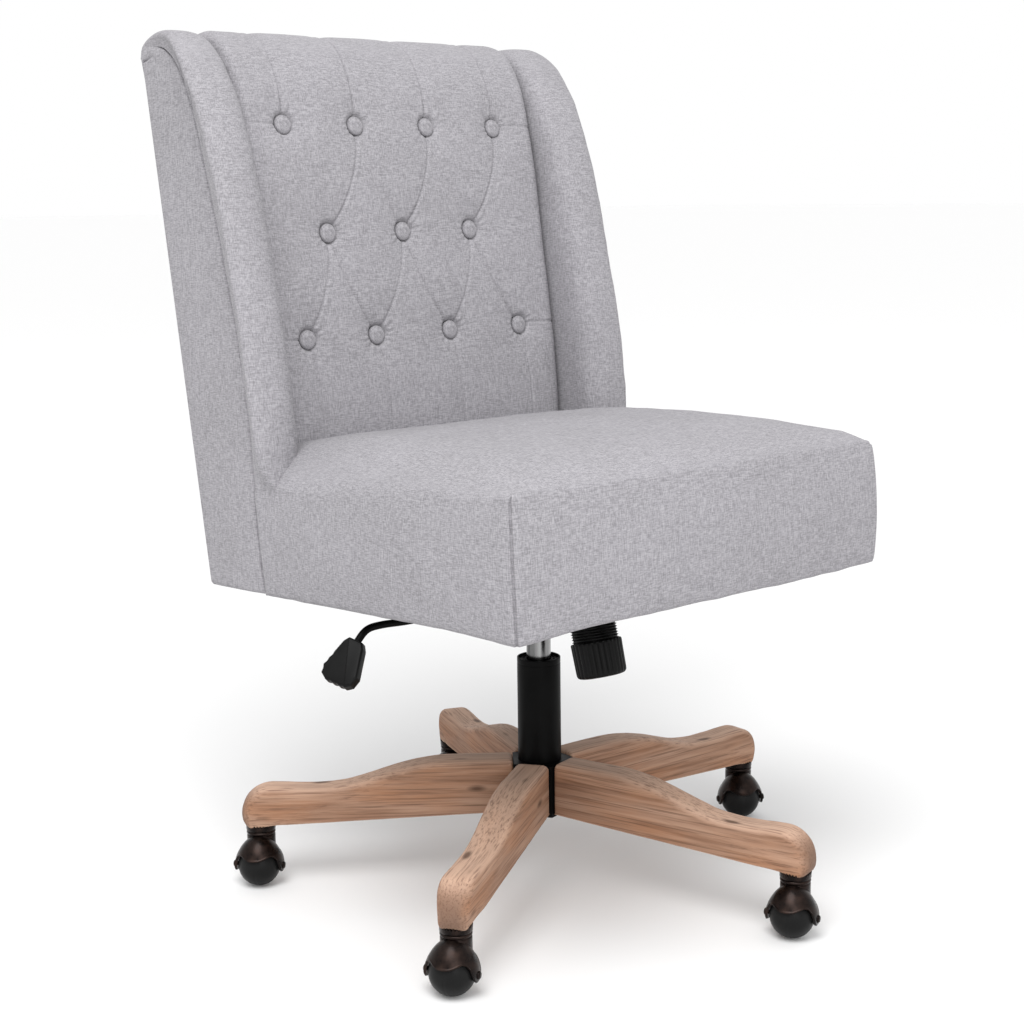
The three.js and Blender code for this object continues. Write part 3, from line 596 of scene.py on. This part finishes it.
WING_STATIONS = [  # y, z on the seam, then y, z on the front of the roll, then how full the roll is
    (167, 462, 129, 462, -0.5), (167.5, 482, 126, 482, 0.1), (168, 493, 126, 493, 0.45),
    (169, 508, 126.5, 508, 0.75), (171.5, 554, 127, 552, 1), (183.5, 645, 136, 640, 1),
    (195, 701, 145, 695, 1), (211.5, 774, 158, 767, 1), (220.5, 807, 167, 812, 1),
    (230, 844, 180, 859, 1), (238.5, 876, 196, 903, 1), (246, 899, 213.5, 935, 1),
    (255, 921, 231, 959.5, 0.95), (266, 941, 249, 975.5, 0.8), (280, 958, 267, 985, 0.6),
    (296, 969, 287, 989, 0.35), (312, 973, 309, 989, 0.15), (329, 972, 331, 984, 0.05),
    (341, 967, 345, 976, 0.0), (346, 959, 350, 964, -0.1),
]
WING_SECTION = [  # x, then the part of the way from the seam to the front
    (255, -0.01), (261.5, 0.012), (264.6, 0.04), (266, 0.12), (268.4, 0.26), (272, 0.41), (277, 0.56),
    (281.4, 0.7), (281.6, 0.81), (276.5, 0.92), (267, 0.985), (255, 1.0), (243, 0.975), (232.5, 0.89),
    (225, 0.74), (221, 0.54), (219.4, 0.3), (219.2, 0.0), (219.2, -0.4), (219.4, -0.8), (222, -1.0),
    (235, -0.8),
]
WING_ROWS, WING_AROUND = 420, 120
ROLL_MIDDLE, ROLL_HALF = 250, 30  # across the chair
WING_TUCKS = [(0.565, 8), (0.645, 9)]  # place along the roll, depth
TUCK_RISE, TUCK_WIDTH = 0.14, 0.006  # along the roll
TUCK_REACH = 0.4  # towards its front


def tuck_depth(along, t):
    """How deep the tucks sink the outer face at a place along the roll, t of the way to its front."""
    sink = 0
    for place, depth in WING_TUCKS:
        lane = (along - place - TUCK_RISE * t) / TUCK_WIDTH
        sink += depth * math.exp(-lane * lane) * (1 - (t / TUCK_REACH) ** 2)
    return sink * min(t / 0.03, 1)


def add_wing(side, node):
    seam = smooth_path([(y, z) for y, z, _, _, _ in WING_STATIONS], WING_ROWS)
    front = smooth_path([(y, z) for _, _, y, z, _ in WING_STATIONS], WING_ROWS)
    fullness = smooth_path([(full, 0) for _, _, _, _, full in WING_STATIONS], WING_ROWS)
    section = smooth_path(WING_SECTION, WING_AROUND)
    vertices = []
    for row in range(WING_ROWS):
        along = row / (WING_ROWS - 1)
        for spot in section:
            t = spot.y
            y = seam[row].x + (front[row].x - seam[row].x) * t
            z = seam[row].y + (front[row].y - seam[row].y) * t
            outward = (spot.x - ROLL_MIDDLE) / ROLL_HALF
            sink = tuck_depth(along, t) if spot.x > 262 and 0 <= t < TUCK_REACH else 0
            lump = 0.9 * wrinkle(spot.x * side, y, z, 38) + 0.4 * wrinkle(spot.x * side, y, z, 13)
            proud = max(spot.x - HALF_WIDTH, 0) * fullness[row].x + min(spot.x, HALF_WIDTH)
            free = min(max(t - 0.05, 0) * 5, 1)
            x = proud + outward * lump * free - sink
            vertices.append((side * x, y - 0.6 * lump * free, z))
    faces = tube_faces(WING_ROWS, WING_AROUND)
    wing = add_piece(node.replace("wing_", "wing_roll_"), vertices, faces, fabric, "seat", [node], seat_place)


# ---------- back cover: side panels and rear ----------

PANEL_TOP = 975
PANEL_SEAM = [(SEAT_BASE, 162.3), (445, 170), (480, 168.5), (529, 170), (598, 174), (675, 189.5),
              (755, 207.5), (826, 226), (865, 236), (899, 246), (921, 255), (941, 266), (958, 280),
              (969, 296), (PANEL_TOP, 312)]
REAR_SEAM = 248
REAR_COLUMNS = [255, 251, 249.4, 248.6, 248, 247.4, 246.6, 245, 241] + [232 - 11.6 * k for k in range(21)]
PANEL_REAR = [(SEAT_BASE, 278.5), (940, 348), (963, 353), (970, 352), (PANEL_TOP, 348)]
PANEL_CORNER = 5
PANEL_INSET = 0.6
PANEL_FOLD = 960  # height of the sewn fold over the top of the rear
FINE_FROM = 930  # rows are closer together above this


def side_half_ring(z, seam, rear):
    """One side panel at height z, from its seam with the wing to the rear corner, as (x, y)."""
    out = []
    for k in range(34):
        t = k / 33
        y = seam + (rear - PANEL_CORNER - seam) * t ** 1.8
        from_seam, from_rear = y - seam, rear - y
        swell = 1.6 * min(from_seam / 25, 1) * min(from_rear / 25, 1)
        groove = 8 * bell(from_seam, 1.5)
        fold = 3.0 * bell(z - PANEL_FOLD - 0.12 * from_rear, 1.4) * math.exp(-(from_rear / 30) ** 4)
        lump = 0.6 * wrinkle(0, y, z, 45)
        out.append((HALF_WIDTH - PANEL_INSET - groove + swell - fold + lump, y))
    for k in range(1, 7):
        angle = k / 6 * math.pi / 2
        x = HALF_WIDTH - PANEL_INSET - PANEL_CORNER + PANEL_CORNER * math.cos(angle)
        out.append((x, rear - PANEL_CORNER + PANEL_CORNER * math.sin(angle)))
    return out


def rear_half_ring(z, rear):
    """Half of the rear panel at height z, from its seam to the middle."""
    out = []
    for x in REAR_COLUMNS:
        seam_line = 2.2 * bell(x - REAR_SEAM, 1.3) + 2.0 * bell(z - PANEL_FOLD, 1.3)
        puff = 2.5 * min((HALF_WIDTH - x) / 60, 1) * min((z - SEAT_BASE) / 60, 1)
        out.append((x, rear + puff - seam_line))
    return out


def add_back_cover():
    levels = [SEAT_BASE + (FINE_FROM - SEAT_BASE) * k / 220 for k in range(220)]
    levels += [FINE_FROM + (PANEL_TOP - FINE_FROM) * k / 60 for k in range(61)]
    vertices = []
    for z in levels:
        seam = between(PANEL_SEAM, z)
        rear = between(PANEL_REAR, z)
        low = min((z - SEAT_BASE) / 5, 1)
        tuck_in = 2.2 * (1 - math.sqrt(1 - (1 - low) ** 2))
        outer = [(x - tuck_in if x > 200 else x, y)
                 for x, y in side_half_ring(z, seam, rear) + rear_half_ring(z, rear)]
        inner = [(0, rear - 30), (100, rear - 30), (INNER_HALF_WIDTH + 1, rear - 30),
                 (INNER_HALF_WIDTH + 1, seam + 6), (HALF_WIDTH - 8, seam + 1)]
        loop = outer + [(-x if x else 0, y) for x, y in reversed(outer[:-1])]
        loop += [(-x, y) for x, y in reversed(inner)] + inner[1:]
        vertices.extend((x, y, z) for x, y in loop)
    faces = tube_faces(len(levels), len(vertices) // len(levels))
    add_piece("back_cover", vertices, faces, fabric, "seat", ["back_shell"], seat_place, crease=50)


# ---------- seat ----------

SEAT_FRONT = -269
SEAT_SIDE_REAR = 159.5
SEAT_REAR = 186
SEAT_CORNER = 5
NOTCH_HALF_WIDTH = 218  # of the part that runs back between the wings
SEAT_MIDDLE = Vector((0, -55))
CROWN = [(-270, 494), (-268, 498), (-264, 502), (-257, 506.5), (-248, 511), (-235, 515.5), (-215, 520.5),
         (-180, 526), (-134, 529.5), (-72, 532.5), (0, 534), (50, 533.5), (100, 531), (150, 527), (187, 522)]
SIDE_EDGE = [(-270, 497), (-180, 492), (-100, 489), (-14, 485), (78, 481), (160, 479)]
CROWN_FROM = 160  # the top is nearly level across the chair out to here
EDGE_ROUNDING = 9
SIDE_END_SLOPE = 0.09  # the sides end against the leaning back panels
SEAT_TOP_RINGS, SEAT_WALL_ROWS = 58, 34


def seat_top(x, y):
    """Height of the padded top."""
    crown = between(CROWN, y)
    edge = between(SIDE_EDGE, y) + 2
    edge += 9 * clamp((x - 90) / 150) * clamp((y + 266) / 30) * clamp((110 - y) / 150)
    out = clamp((abs(x) - CROWN_FROM) / (HALF_WIDTH - CROWN_FROM))
    fullness = 1 - out ** 2.6
    dents = 1.4 * wrinkle(x, y, 0, 75) + 0.6 * wrinkle(x, y, 40, 26)
    from_side = HALF_WIDTH - abs(x)
    drop = 0
    if from_side < EDGE_ROUNDING:
        part = 1 - from_side / EDGE_ROUNDING
        drop = 0.75 * EDGE_ROUNDING * (1 - math.sqrt(max(1 - part * part, 0)))
    return edge + (crown - edge) * fullness + dents * fullness - drop


def far_side_flare(spot):
    """The cushion is a little wider at its front on the far side."""
    return 7 * clamp((60 - spot.y) / 320) * clamp((spot.x - 60) / 200)


def seat_perimeter():
    """Plan outline from the middle of the rear and round, as (x, y, distance to the nearest front seam)."""
    corner = SEAT_CORNER
    path = [Vector((0, SEAT_REAR)), Vector((NOTCH_HALF_WIDTH, SEAT_REAR)),
            Vector((NOTCH_HALF_WIDTH, SEAT_SIDE_REAR)), Vector((HALF_WIDTH, SEAT_SIDE_REAR)),
            Vector((HALF_WIDTH, SEAT_FRONT + corner))]
    for k in range(1, 9):
        angle = k / 8 * math.pi / 2
        along, across = corner * math.cos(angle), corner * math.sin(angle)
        path.append(Vector((HALF_WIDTH - corner + along, SEAT_FRONT + corner - across)))
    path.append(Vector((0, SEAT_FRONT)))
    half = even_path(path, 5)
    seam = Vector((HALF_WIDTH - corner * 0.3, SEAT_FRONT + corner * 0.3))
    dense = []
    for a, b in zip(half, half[1:]):
        parts = 7 if min((a - seam).length, (b - seam).length) < 9 else 1
        dense.extend(a.lerp(b, k / parts) for k in range(parts))
    corner_distances = [(p - seam).length for p in dense]
    left = [(-p.x, p.y, d) for p, d in reversed(list(zip(dense, corner_distances))[1:])]
    right = [(p.x + far_side_flare(p), p.y, d) for p, d in zip(dense, corner_distances)]
    middle = (0, SEAT_FRONT, 999)
    return right + [middle] + left


def seat_wall_spot(x, y, from_seam, v):
    """Point of the side wall, v of the way down from the top's edge to the hem."""
    edge = seat_top(x, y)
    near_corner = bell(from_seam, 60)
    hem = SEAT_BASE - 1 - (4 if x < 0 else -3) * near_corner + 0.8 * wrinkle(x, y, 0, 24)
    z = edge + (hem - edge) * v
    fullness = 3.0 + 2.0 * clamp((60 - y) / 250)
    swell = fullness * math.sin(math.pi * min(v * 1.03, 1)) ** 0.8 + 0.9 * wrinkle(x, y, z, 50)
    swell -= 1.6 * (max(v - 0.96, 0) / 0.04) ** 2
    seam_line = 4.2 * bell(from_seam, 1.5)
    reach = 0 if y > SEAT_SIDE_REAR - 1 else swell - seam_line
    out_x = math.copysign(1, x) if abs(x) > HALF_WIDTH - 6 else 0
    out_y = -1 if y < SEAT_FRONT + SEAT_CORNER + 0.5 else 0
    if out_x and out_y:
        out_x, out_y = out_x * 0.71, -0.71
    lean = 0
    if abs(x) > NOTCH_HALF_WIDTH - 1:
        lean = (z - SEAT_BASE) * SIDE_END_SLOPE * clamp((y - 100) / (SEAT_SIDE_REAR - 100))
    return x + out_x * reach, y + out_y * reach + lean, z


def add_seat():
    rim = seat_perimeter()
    columns = len(rim)
    middle = SEAT_MIDDLE
    vertices = []
    for k in range(1, SEAT_TOP_RINGS + 1):
        part = 1 - (1 - k / SEAT_TOP_RINGS) ** 2
        for x, y, from_seam in rim:
            spot = middle.lerp(Vector((x, y)), part)
            pull = 2.0 * bell(from_seam, 1.4) * max(0, (part - 0.95) / 0.05)
            vertices.append((spot.x, spot.y, seat_top(spot.x, spot.y) - pull))
    for level in range(1, SEAT_WALL_ROWS + 1):
        vertices.extend(seat_wall_spot(x, y, from_seam, level / SEAT_WALL_ROWS) for x, y, from_seam in rim)
    for part, z in ((0.93, SEAT_BASE), (0.91, SEAT_BASE + 0.4), (0.905, SEAT_BASE + 17)):
        vertices.extend((x * part, middle.y + (y - middle.y) * part, z) for x, y, _ in rim)
    rows = len(vertices) // columns
    faces = grid_faces(rows, columns, wrap=True)
    faces.append(cap((rows - 1) * columns, columns))
    centre = len(vertices)
    vertices.append((middle.x, middle.y, seat_top(middle.x, middle.y)))
    faces.extend((centre, (k + 1) % columns, k) for k in range(columns))
    cushion = add_piece("seat_cover", vertices, faces, fabric, "seat", ["seat_cushion"], seat_place)


# ---------- wooden legs ----------

LEG_ROOT = 31.4
LEG_TOP = 144
LEG_HALF_WIDTH = 19.5


def leg_outline():
    """Side view of a leg as (distance from the column, height), from the foot of its root face."""
    underside = [(LEG_ROOT + 268.6 * k / 34, 82.5 - 10.2 * k / 34) for k in range(1, 35)]
    over_the_caster = bezier([(300, 72.3), (318, 71.3), (322, 68), (333, 67.5)], 10)
    lower_nose = bezier([(333, 67.5), (342, 67.5), (345.5, 77)], 8)
    nose = bezier([(345.5, 77), (349.5, 96), (337, 117), (308, 115.8)], 18)
    dip = bezier([(308, 115.8), (284, 114.8), (260, 111.5), (226, 117)], 20)
    rise = bezier([(226, 117), (190, 124), (160, 143), (100, LEG_TOP)], 22)
    level_top = [(100 - (100 - 38) * k / 10, LEG_TOP) for k in range(1, 11)]
    shoulder = bezier([(38, LEG_TOP), (LEG_ROOT, LEG_TOP), (LEG_ROOT, 137)], 6)
    root_face = [(LEG_ROOT, 137 - 50 * k / 6) for k in range(1, 7)]
    return [(LEG_ROOT, 82.5), *underside, *over_the_caster, *lower_nose, *nose, *dip, *rise, *level_top,
            *shoulder, *root_face]


def leg_rounding(normal):
    """Edge radius: soft along the top, larger round the nose."""
    return 3.0 + 4.6 * max(normal.y, 0) + 10 * max(normal.x, 0) ** 1.5


def add_legs():
    outline = leg_outline()
    for index in range(5):
        vertices, faces = slab(outline, LEG_HALF_WIDTH, leg_rounding, 6)
        worn = []
        for x, y, z in vertices:
            nose = clamp((x - 290) / 54)
            low = clamp((104 - z) / 34)
            narrow = 1 - (0.10 + 0.18 * low) * nose
            chip = 0.35 * wrinkle(x, y + 90 * index, z, 17) + 0.5 * wrinkle(x, y + 90 * index, z, 60)
            worn.append((x, (y + math.copysign(chip, y)) * narrow, z + (chip if z > 90 else 0)))
        place = Matrix.Rotation(math.radians(FIRST_LEG_ANGLE + 72 * index), 4, "Z")
        name = f"leg_{index + 1}"
        add_piece(f"wooden_{name}", worn, faces, wood, "base", [name], place, crease=40)


# ---------- casters ----------

HOOD_RIM = [  # degrees from the rolling direction, then the elevation of the rim there
    (0, 22.5), (14, 23), (26, 26), (37, 29.5), (47, 31), (57, 28), (65, 16), (72, -4), (79, -13), (90, -15.5),
    (101, -13), (108, -4), (114, 14), (122, 25), (132, 28), (146, 26), (162, 22), (180, 21),
]
HOOD_RISE = 0.24  # how much taller than a ball the hood's crown is
HOOD_OUTER, HOOD_INNER = 28.4, 26.0
HOOD_CROWN = 88  # elevation of its topmost ring, in degrees
NECK_RADIUS = 16.4


def hood_geometry():
    """Hood round the ball: a drooping lip front and rear, arches beside it, an ear on each side."""
    around, rings = 144, 30
    vertices = []
    for radius in (HOOD_OUTER, HOOD_INNER):
        for level in range(rings + 1):
            for k in range(around):
                heading = k * 360 / around
                rim = between(HOOD_RIM, min(heading, 360 - heading))
                elevation = math.radians(HOOD_CROWN + (rim - HOOD_CROWN) * level / rings)
                turn = math.radians(heading)
                reach = radius + (0.5 if radius == HOOD_OUTER and level == rings - 1 else 0)
                rise = 1 + HOOD_RISE * max(math.sin(elevation), 0) ** 2
                vertices.append((
                    CASTER_TRAIL + reach * math.cos(elevation) * math.cos(turn),
                    reach * math.cos(elevation) * math.sin(turn),
                    BALL_RADIUS + reach * math.sin(elevation) * rise,
                ))
    shell = (rings + 1) * around
    faces = grid_faces(rings + 1, around, wrap=True) + grid_faces(rings + 1, around, wrap=True, start=shell)
    edge = rings * around
    faces += band(edge, shell + edge, around)
    faces += [cap(0, around), cap(shell, around)]
    return vertices, faces


def neck_geometry(start):
    """Neck under the leg with one ring; its foot follows the hood, and its rear is a straight spine."""
    profile = rounded([(NECK_RADIUS, 48), (NECK_RADIUS, 57.2), (15.2, 58), (15.2, 59), (16.7, 59.8),
                       (16.7, 61.6), (15.4, 62.9)], 0.6, 3)
    segments = 72
    in_the_hood = 27.6 ** 2
    foot = []
    for x, y, _ in ring(NECK_RADIUS, 0, segments):
        away = (x - CASTER_TRAIL) ** 2 + y * y
        height = BALL_RADIUS + math.sqrt(max(in_the_hood - away, 16)) * 1.12
        foot.append((x, y, min(height, 50)))
    vertices = list(foot)
    for radius, z in profile:
        level = ring(radius, z, segments)
        vertices.extend((x, y, max(z, low)) for (x, y, _), (_, _, low) in zip(level, foot))
    rows = len(profile) + 1
    faces = grid_faces(rows, segments, wrap=True, start=start)
    faces += [cap(start + (rows - 1) * segments, segments), cap(start, segments)]
    return vertices, faces


def ball_geometry():
    """Ball about Y with a faint mould line round its middle and a small flat at each end."""
    end = BALL_RADIUS - 1.2
    profile = [(1.5, -end), (5, -end)]
    for k in range(5, 60):
        angle = -math.pi / 2 + k * math.pi / 64 + math.pi / 64
        along = BALL_RADIUS * math.sin(angle)
        profile.append((BALL_RADIUS * math.cos(angle) - 0.35 * bell(along, 0.7), along))
    profile += [(5, end), (1.5, end)]
    vertices, faces = turned(profile, 72)
    return [(x, z, -y) for x, y, z in vertices], faces


def axle_geometry():
    """Both rivet heads on one pin, along Y."""
    outer = 28.5
    profile = [(0.4, -outer - 2.2), (3.0, -outer - 2.0), (4.3, -outer - 0.4), (4.3, -outer + 0.6),
               (2.3, -outer + 0.8), (2.3, outer - 0.8), (4.3, outer - 0.6), (4.3, outer + 0.4),
               (3.0, outer + 2.0), (0.4, outer + 2.2)]
    vertices, faces = turned(rounded(profile, 0.8, 3), 32)
    return [(x, z, -y) for x, y, z in vertices], faces


def socket_geometry():
    """Collar with teeth that bite the leg."""
    teeth, per_tooth = 30, 4
    segments = teeth * per_tooth
    teeth_base, tooth_height = 68.0, 3.4
    outside = [(14.8, 63.2), (16.5, 63.3), (17.0, 64.2), (17.0, 68.2)]
    inside = [(13.0, 70.4), (8.5, 70.4), (8.5, 63.2)]
    vertices = [spot for radius, z in outside for spot in ring(radius, z, segments)]
    for k, (x, y, z) in enumerate(ring(17.2, teeth_base, segments)):
        tooth = 1 - abs((k % per_tooth) / per_tooth * 2 - 1)
        vertices.append((x, y, z + tooth_height * tooth))
    vertices.extend(spot for radius, z in inside for spot in ring(radius, z, segments))
    return vertices, loop_faces(len(outside) + 1 + len(inside), segments)


def add_casters():
    for number, heading in enumerate(CASTER_HEADINGS, 1):
        leg_angle = math.radians(FIRST_LEG_ANGLE + 72 * (number - 1))
        out_x, out_y = CASTER_CIRCLE_RADIUS * math.cos(leg_angle), CASTER_CIRCLE_RADIUS * math.sin(leg_angle)
        on_leg = Matrix.Translation(Vector((out_x, out_y, 0)) * MM)
        place = on_leg @ Matrix.Rotation(math.radians(heading), 4, "Z")
        centre = place @ Matrix.Translation(Vector((CASTER_TRAIL, 0, BALL_RADIUS)) * MM)
        caster, ball = f"caster_{number}", f"ball_{number}"
        hood, hood_faces = hood_geometry()
        neck, neck_faces = neck_geometry(len(hood))
        add_piece(f"hood_{number}", hood + neck, hood_faces + neck_faces, dark_bronze, caster,
                  [f"caster_hood_{number}"], place, crease=45)
        add_piece(ball, *ball_geometry(), ball_plastic, ball, [f"caster_ball_{number}"], centre, crease=50)
        add_piece(f"rivets_{number}", *axle_geometry(), dark_bronze, caster,
                  [f"caster_axle_{number}"], centre, crease=40)
        add_piece(f"toothed_collar_{number}", *socket_geometry(), dark_bronze, "base",
                  [f"caster_socket_{number}"], on_leg, crease=30)


# ---------- column ----------

TUBE_PROFILE = [
    (7, 83.6), (25, 83.6), (25, 255.2), (24.75, 255.7), (24.75, 256.4), (25, 256.9), (25, 262.1),
    (24.6, 262.5), (23.2, 262.5), (23.2, 250), (23.2, 90), (7, 90), (7, 84),
]
GUIDE_PROFILE = [
    (14.5, 192), (22.6, 192), (22.6, 259.2), (22.2, 260.2), (19.6, 260.2), (18.9, 259.2),
    (16.8, 259.2), (16.2, 260.2), (14.8, 260.2), (14.5, 259.8), (14.5, 193),
]
CYLINDER_PROFILE = [(5.6, 112), (14, 112), (14, 318), (12.6, 320), (4, 320), (4, 300), (5.6, 284), (5.6, 113)]


def add_column():
    for name, profile, radius, steps, material, body, node in (
        ("outer_tube", TUBE_PROFILE, 0.25, 2, coat, "base", "column_tube"),
        ("guide_ring", GUIDE_PROFILE, 0.4, 3, grip_plastic, "base", "column_bushing"),
        ("polished_cylinder", CYLINDER_PROFILE, 0.6, 3, steel, "lift", "gas_cylinder"),
    ):
        shape = turned(rounded(profile, radius, steps), 96, closed=True)
        add_piece(name, *shape, material, body, [node], crease=35)


# ---------- tension knob ----------

knob_place = Matrix.Translation(KNOB_TOP * MM) @ Matrix.Rotation(math.pi - KNOB_LEAN, 4, "X")


def add_knob():
    """Ribbed cup, its top at z = 0 and its floor at z = 40 along the knob's own axis."""
    ribs, per_rib = 28, 8
    segments = ribs * per_rib
    groove_depth = 1.2
    profile = [(6, 40.0), (14, 40.0), (22, 39.7), (25.2, 38.9), (26.9, 37.6), (27.9, 35.6), (28.1, 32),
               (28.3, 20), (28.5, 8), (28.7, 2.4), (28.5, 1.0), (28.0, 0.2), (27.0, 0), (26.7, 2),
               (26.7, 34.8), (6, 34.8)]
    vertices = []
    for radius, z in profile:
        depth = groove_depth if radius > 27.8 and z > 0.5 else 0
        for k in range(segments):
            angle = k * TURN / segments
            wave = abs(math.sin(math.pi * k / per_rib))
            reach = radius - depth * (1 - wave) ** 1.5
            vertices.append((reach * math.cos(angle), reach * math.sin(angle), z))
    faces = tube_faces(len(profile), segments)
    add_piece("ribbed_knob", vertices, faces, grip_plastic, "knob", ["tension_knob"], knob_place, crease=40)


def add_threaded_neck():
    """Hollow neck with a thread where the knob climbs it."""
    segments, pitch, rows = 72, 3.0, 96
    top, bottom, thread_end = -19.5, 22, 6
    bore, root, thread_depth = 23.6, 24.6, 1.8
    vertices = []
    for row in range(rows + 1):
        z = top + (bottom - top) * row / rows
        for k in range(segments):
            phase = (z / pitch + k / segments) % 1
            ridge = min(phase, 1 - phase) * 2
            radius = root + thread_depth * max(0, 1 - ridge * 1.5) if z < thread_end else root
            angle = k * TURN / segments
            vertices.append((radius * math.cos(angle), radius * math.sin(angle), z))
    faces = grid_faces(rows + 1, segments, wrap=True)
    last = rows * segments
    bore_top = len(vertices)
    bore_bottom = bore_top + segments
    vertices.extend(ring(bore, top, segments) + ring(bore, bottom, segments))
    for first, second in ((0, bore_top), (last, bore_bottom), (bore_top, bore_bottom)):
        faces += band(first, second, segments)
    add_piece("threaded_neck", vertices, faces, grip_plastic, "lift", ["tension_neck"], knob_place, crease=25)


# ---------- lever ----------

LEVER_Z = 334.5
GRIP_START = Vector((-254.5, 323.8))
GRIP_END = Vector((-288, 281))
GRIP_ROLL = -28
ROD_RADIUS = 4


def add_lever_rod():
    axis = (GRIP_END - GRIP_START).normalized()
    tip = GRIP_START + axis * 13
    route = [(16, LEVER_Z), (-60, LEVER_Z), (-150, LEVER_Z), (-190, LEVER_Z + 0.5), (-222, LEVER_Z + 2),
             (-241.5, LEVER_Z), tuple(GRIP_START), tuple(tip)]
    path = even_path(smooth_path(route, 300), 3)
    segments = 20
    vertices = []
    for k, spot in enumerate(path):
        across = left_of(slope_at(path, k))
        for n in range(segments):
            angle = n * TURN / segments
            side = across * ROD_RADIUS * math.cos(angle)
            vertices.append((spot.x + side.x, ROD_RADIUS * math.sin(angle), spot.y + side.y))
    faces = tube_faces(len(path), segments)
    add_piece("bent_rod", vertices, faces, coat, "lever", ["lever_rod"], crease=50)


def add_grip():
    """Flat paddle, its width along Y, with rounded shoulders and shallow notches along its front and end."""
    along = GRIP_END - GRIP_START
    length = along.length
    corners = [(0, -8), (6, -12), (length - 17, -19.5), (length - 8, -17), (length - 3, -10),
               (length - 3, 14), (length - 8, 20.5), (length - 18, 22.5), (6, 12.5), (0, 8)]
    outline = []
    for a, b in zip(corners, corners[1:] + corners[:1]):
        a, b = Vector(a), Vector(b)
        steps = max(2, round((b - a).length / 1.2))
        outline.extend(a.lerp(b, k / steps) for k in range(steps))
    notched = []
    for p in outline:
        on_front = p.y < -11 and 20 < p.x < length - 3
        on_end = p.x > length - 4
        front_notch = 0.7 * (1 - math.cos(TURN * (p.x - 20) / 8.5)) / 2 if on_front else 0
        end_notch = 0.9 * (1 - math.cos(TURN * p.y / 8)) / 2 if on_end else 0
        notched.append((p.x - end_notch, p.y + front_notch))
    vertices, faces = slab(notched, 7.5, lambda normal: 2.8, 4)
    upright = [(x, -z, y) for x, y, z in vertices]
    turn = Matrix.Rotation(math.atan2(-along.y, along.x), 4, "Y")
    roll = Matrix.Rotation(math.radians(GRIP_ROLL), 4, "X")
    place = Matrix.Translation(Vector((GRIP_START.x, 0, GRIP_START.y)) * MM) @ turn @ roll
    add_piece("paddle_grip", upright, faces, grip_plastic, "lever", ["lever_grip"], place, crease=35)


# ---------- CAD nodes that stay ----------

def dress_cad_nodes():
    kept = {
        "base_hub": coat, "tilt_housing": coat, "seat_plate": coat, "lever_bush": grip_plastic,
        "thrust_bearing": steel, "piston_rod": steel, "valve_pin": steel, "tilt_pivot_pin": steel,
        "tension_washer": steel, "tension_spring": spring_steel, "seat_board": plywood,
        "dust_cover": under_cloth,
    }
    softened = {"base_hub": 1.2, "tilt_housing": 1.0, "seat_plate": 0.5, "lever_bush": 1.5}  # edge widths
    for name, material in kept.items():
        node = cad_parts[name]
        node.data.materials.clear()
        node.data.materials.append(material)
        if name in softened:
            bevel = node.modifiers.new("edges", "BEVEL")
            bevel.width = softened[name] * MM
            bevel.segments = 2
            bevel.limit_method = "ANGLE"


# ---------- stage ----------

def add_stage():
    size = 90  # metres from the middle to each side
    corners = [(-size, -size, 0), (size, -size, 0), (size, size, 0), (-size, size, 0)]
    floor_mesh = bpy.data.meshes.new("floor")
    floor_mesh.from_pydata(corners, [], [(0, 1, 2, 3)])
    floor = link_new("floor", floor_mesh)
    paint = Shading("floor_paint", 0.9)
    distance = paint.add("ShaderNodeVectorMath", {0: paint.place}, operation="LENGTH").outputs["Value"]
    tint = paint.mix(paint.spread(distance, 0.8, 5), (0.8, 0.8, 0.8), (0.985, 0.985, 0.985))
    floor_mesh.materials.append(paint.finish(tint))


def add_light(name, place, aim, size, power):
    data = bpy.data.lights.new(name, "AREA")
    data.shape = "DISK"
    data.size = size
    data.energy = power
    light = link_new(name, data)
    light.location = place
    light.rotation_euler = (Vector(aim) - Vector(place)).to_track_quat("-Z", "Y").to_euler()


def light_stage():
    """A large soft key above the chair's front corner, a weak low fill and a white surround."""
    world = bpy.data.worlds.new("studio")
    bpy.context.scene.world = world
    world.use_nodes = True
    background = world.node_tree.nodes["Background"]
    background.inputs["Color"].default_value = (1, 1, 1, 1)
    background.inputs["Strength"].default_value = 1.0
    add_light("key", (-1.5, -1.05, 3.4), (0, 0, 0.5), 2.4, 92)
    add_light("low_fill", (-0.8, -1.55, 0.85), (0, 0, 0.3), 1.0, 6)
    bpy.context.scene.view_settings.view_transform = "Standard"


# ---------- build ----------

add_back_pad()
add_buttons()
add_wing(1, "wing_left")
add_wing(-1, "wing_right")
add_back_cover()
add_seat()
add_legs()
add_casters()
add_column()
add_knob()
add_threaded_neck()
add_lever_rod()
add_grip()
dress_cad_nodes()
add_stage()
light_stage()
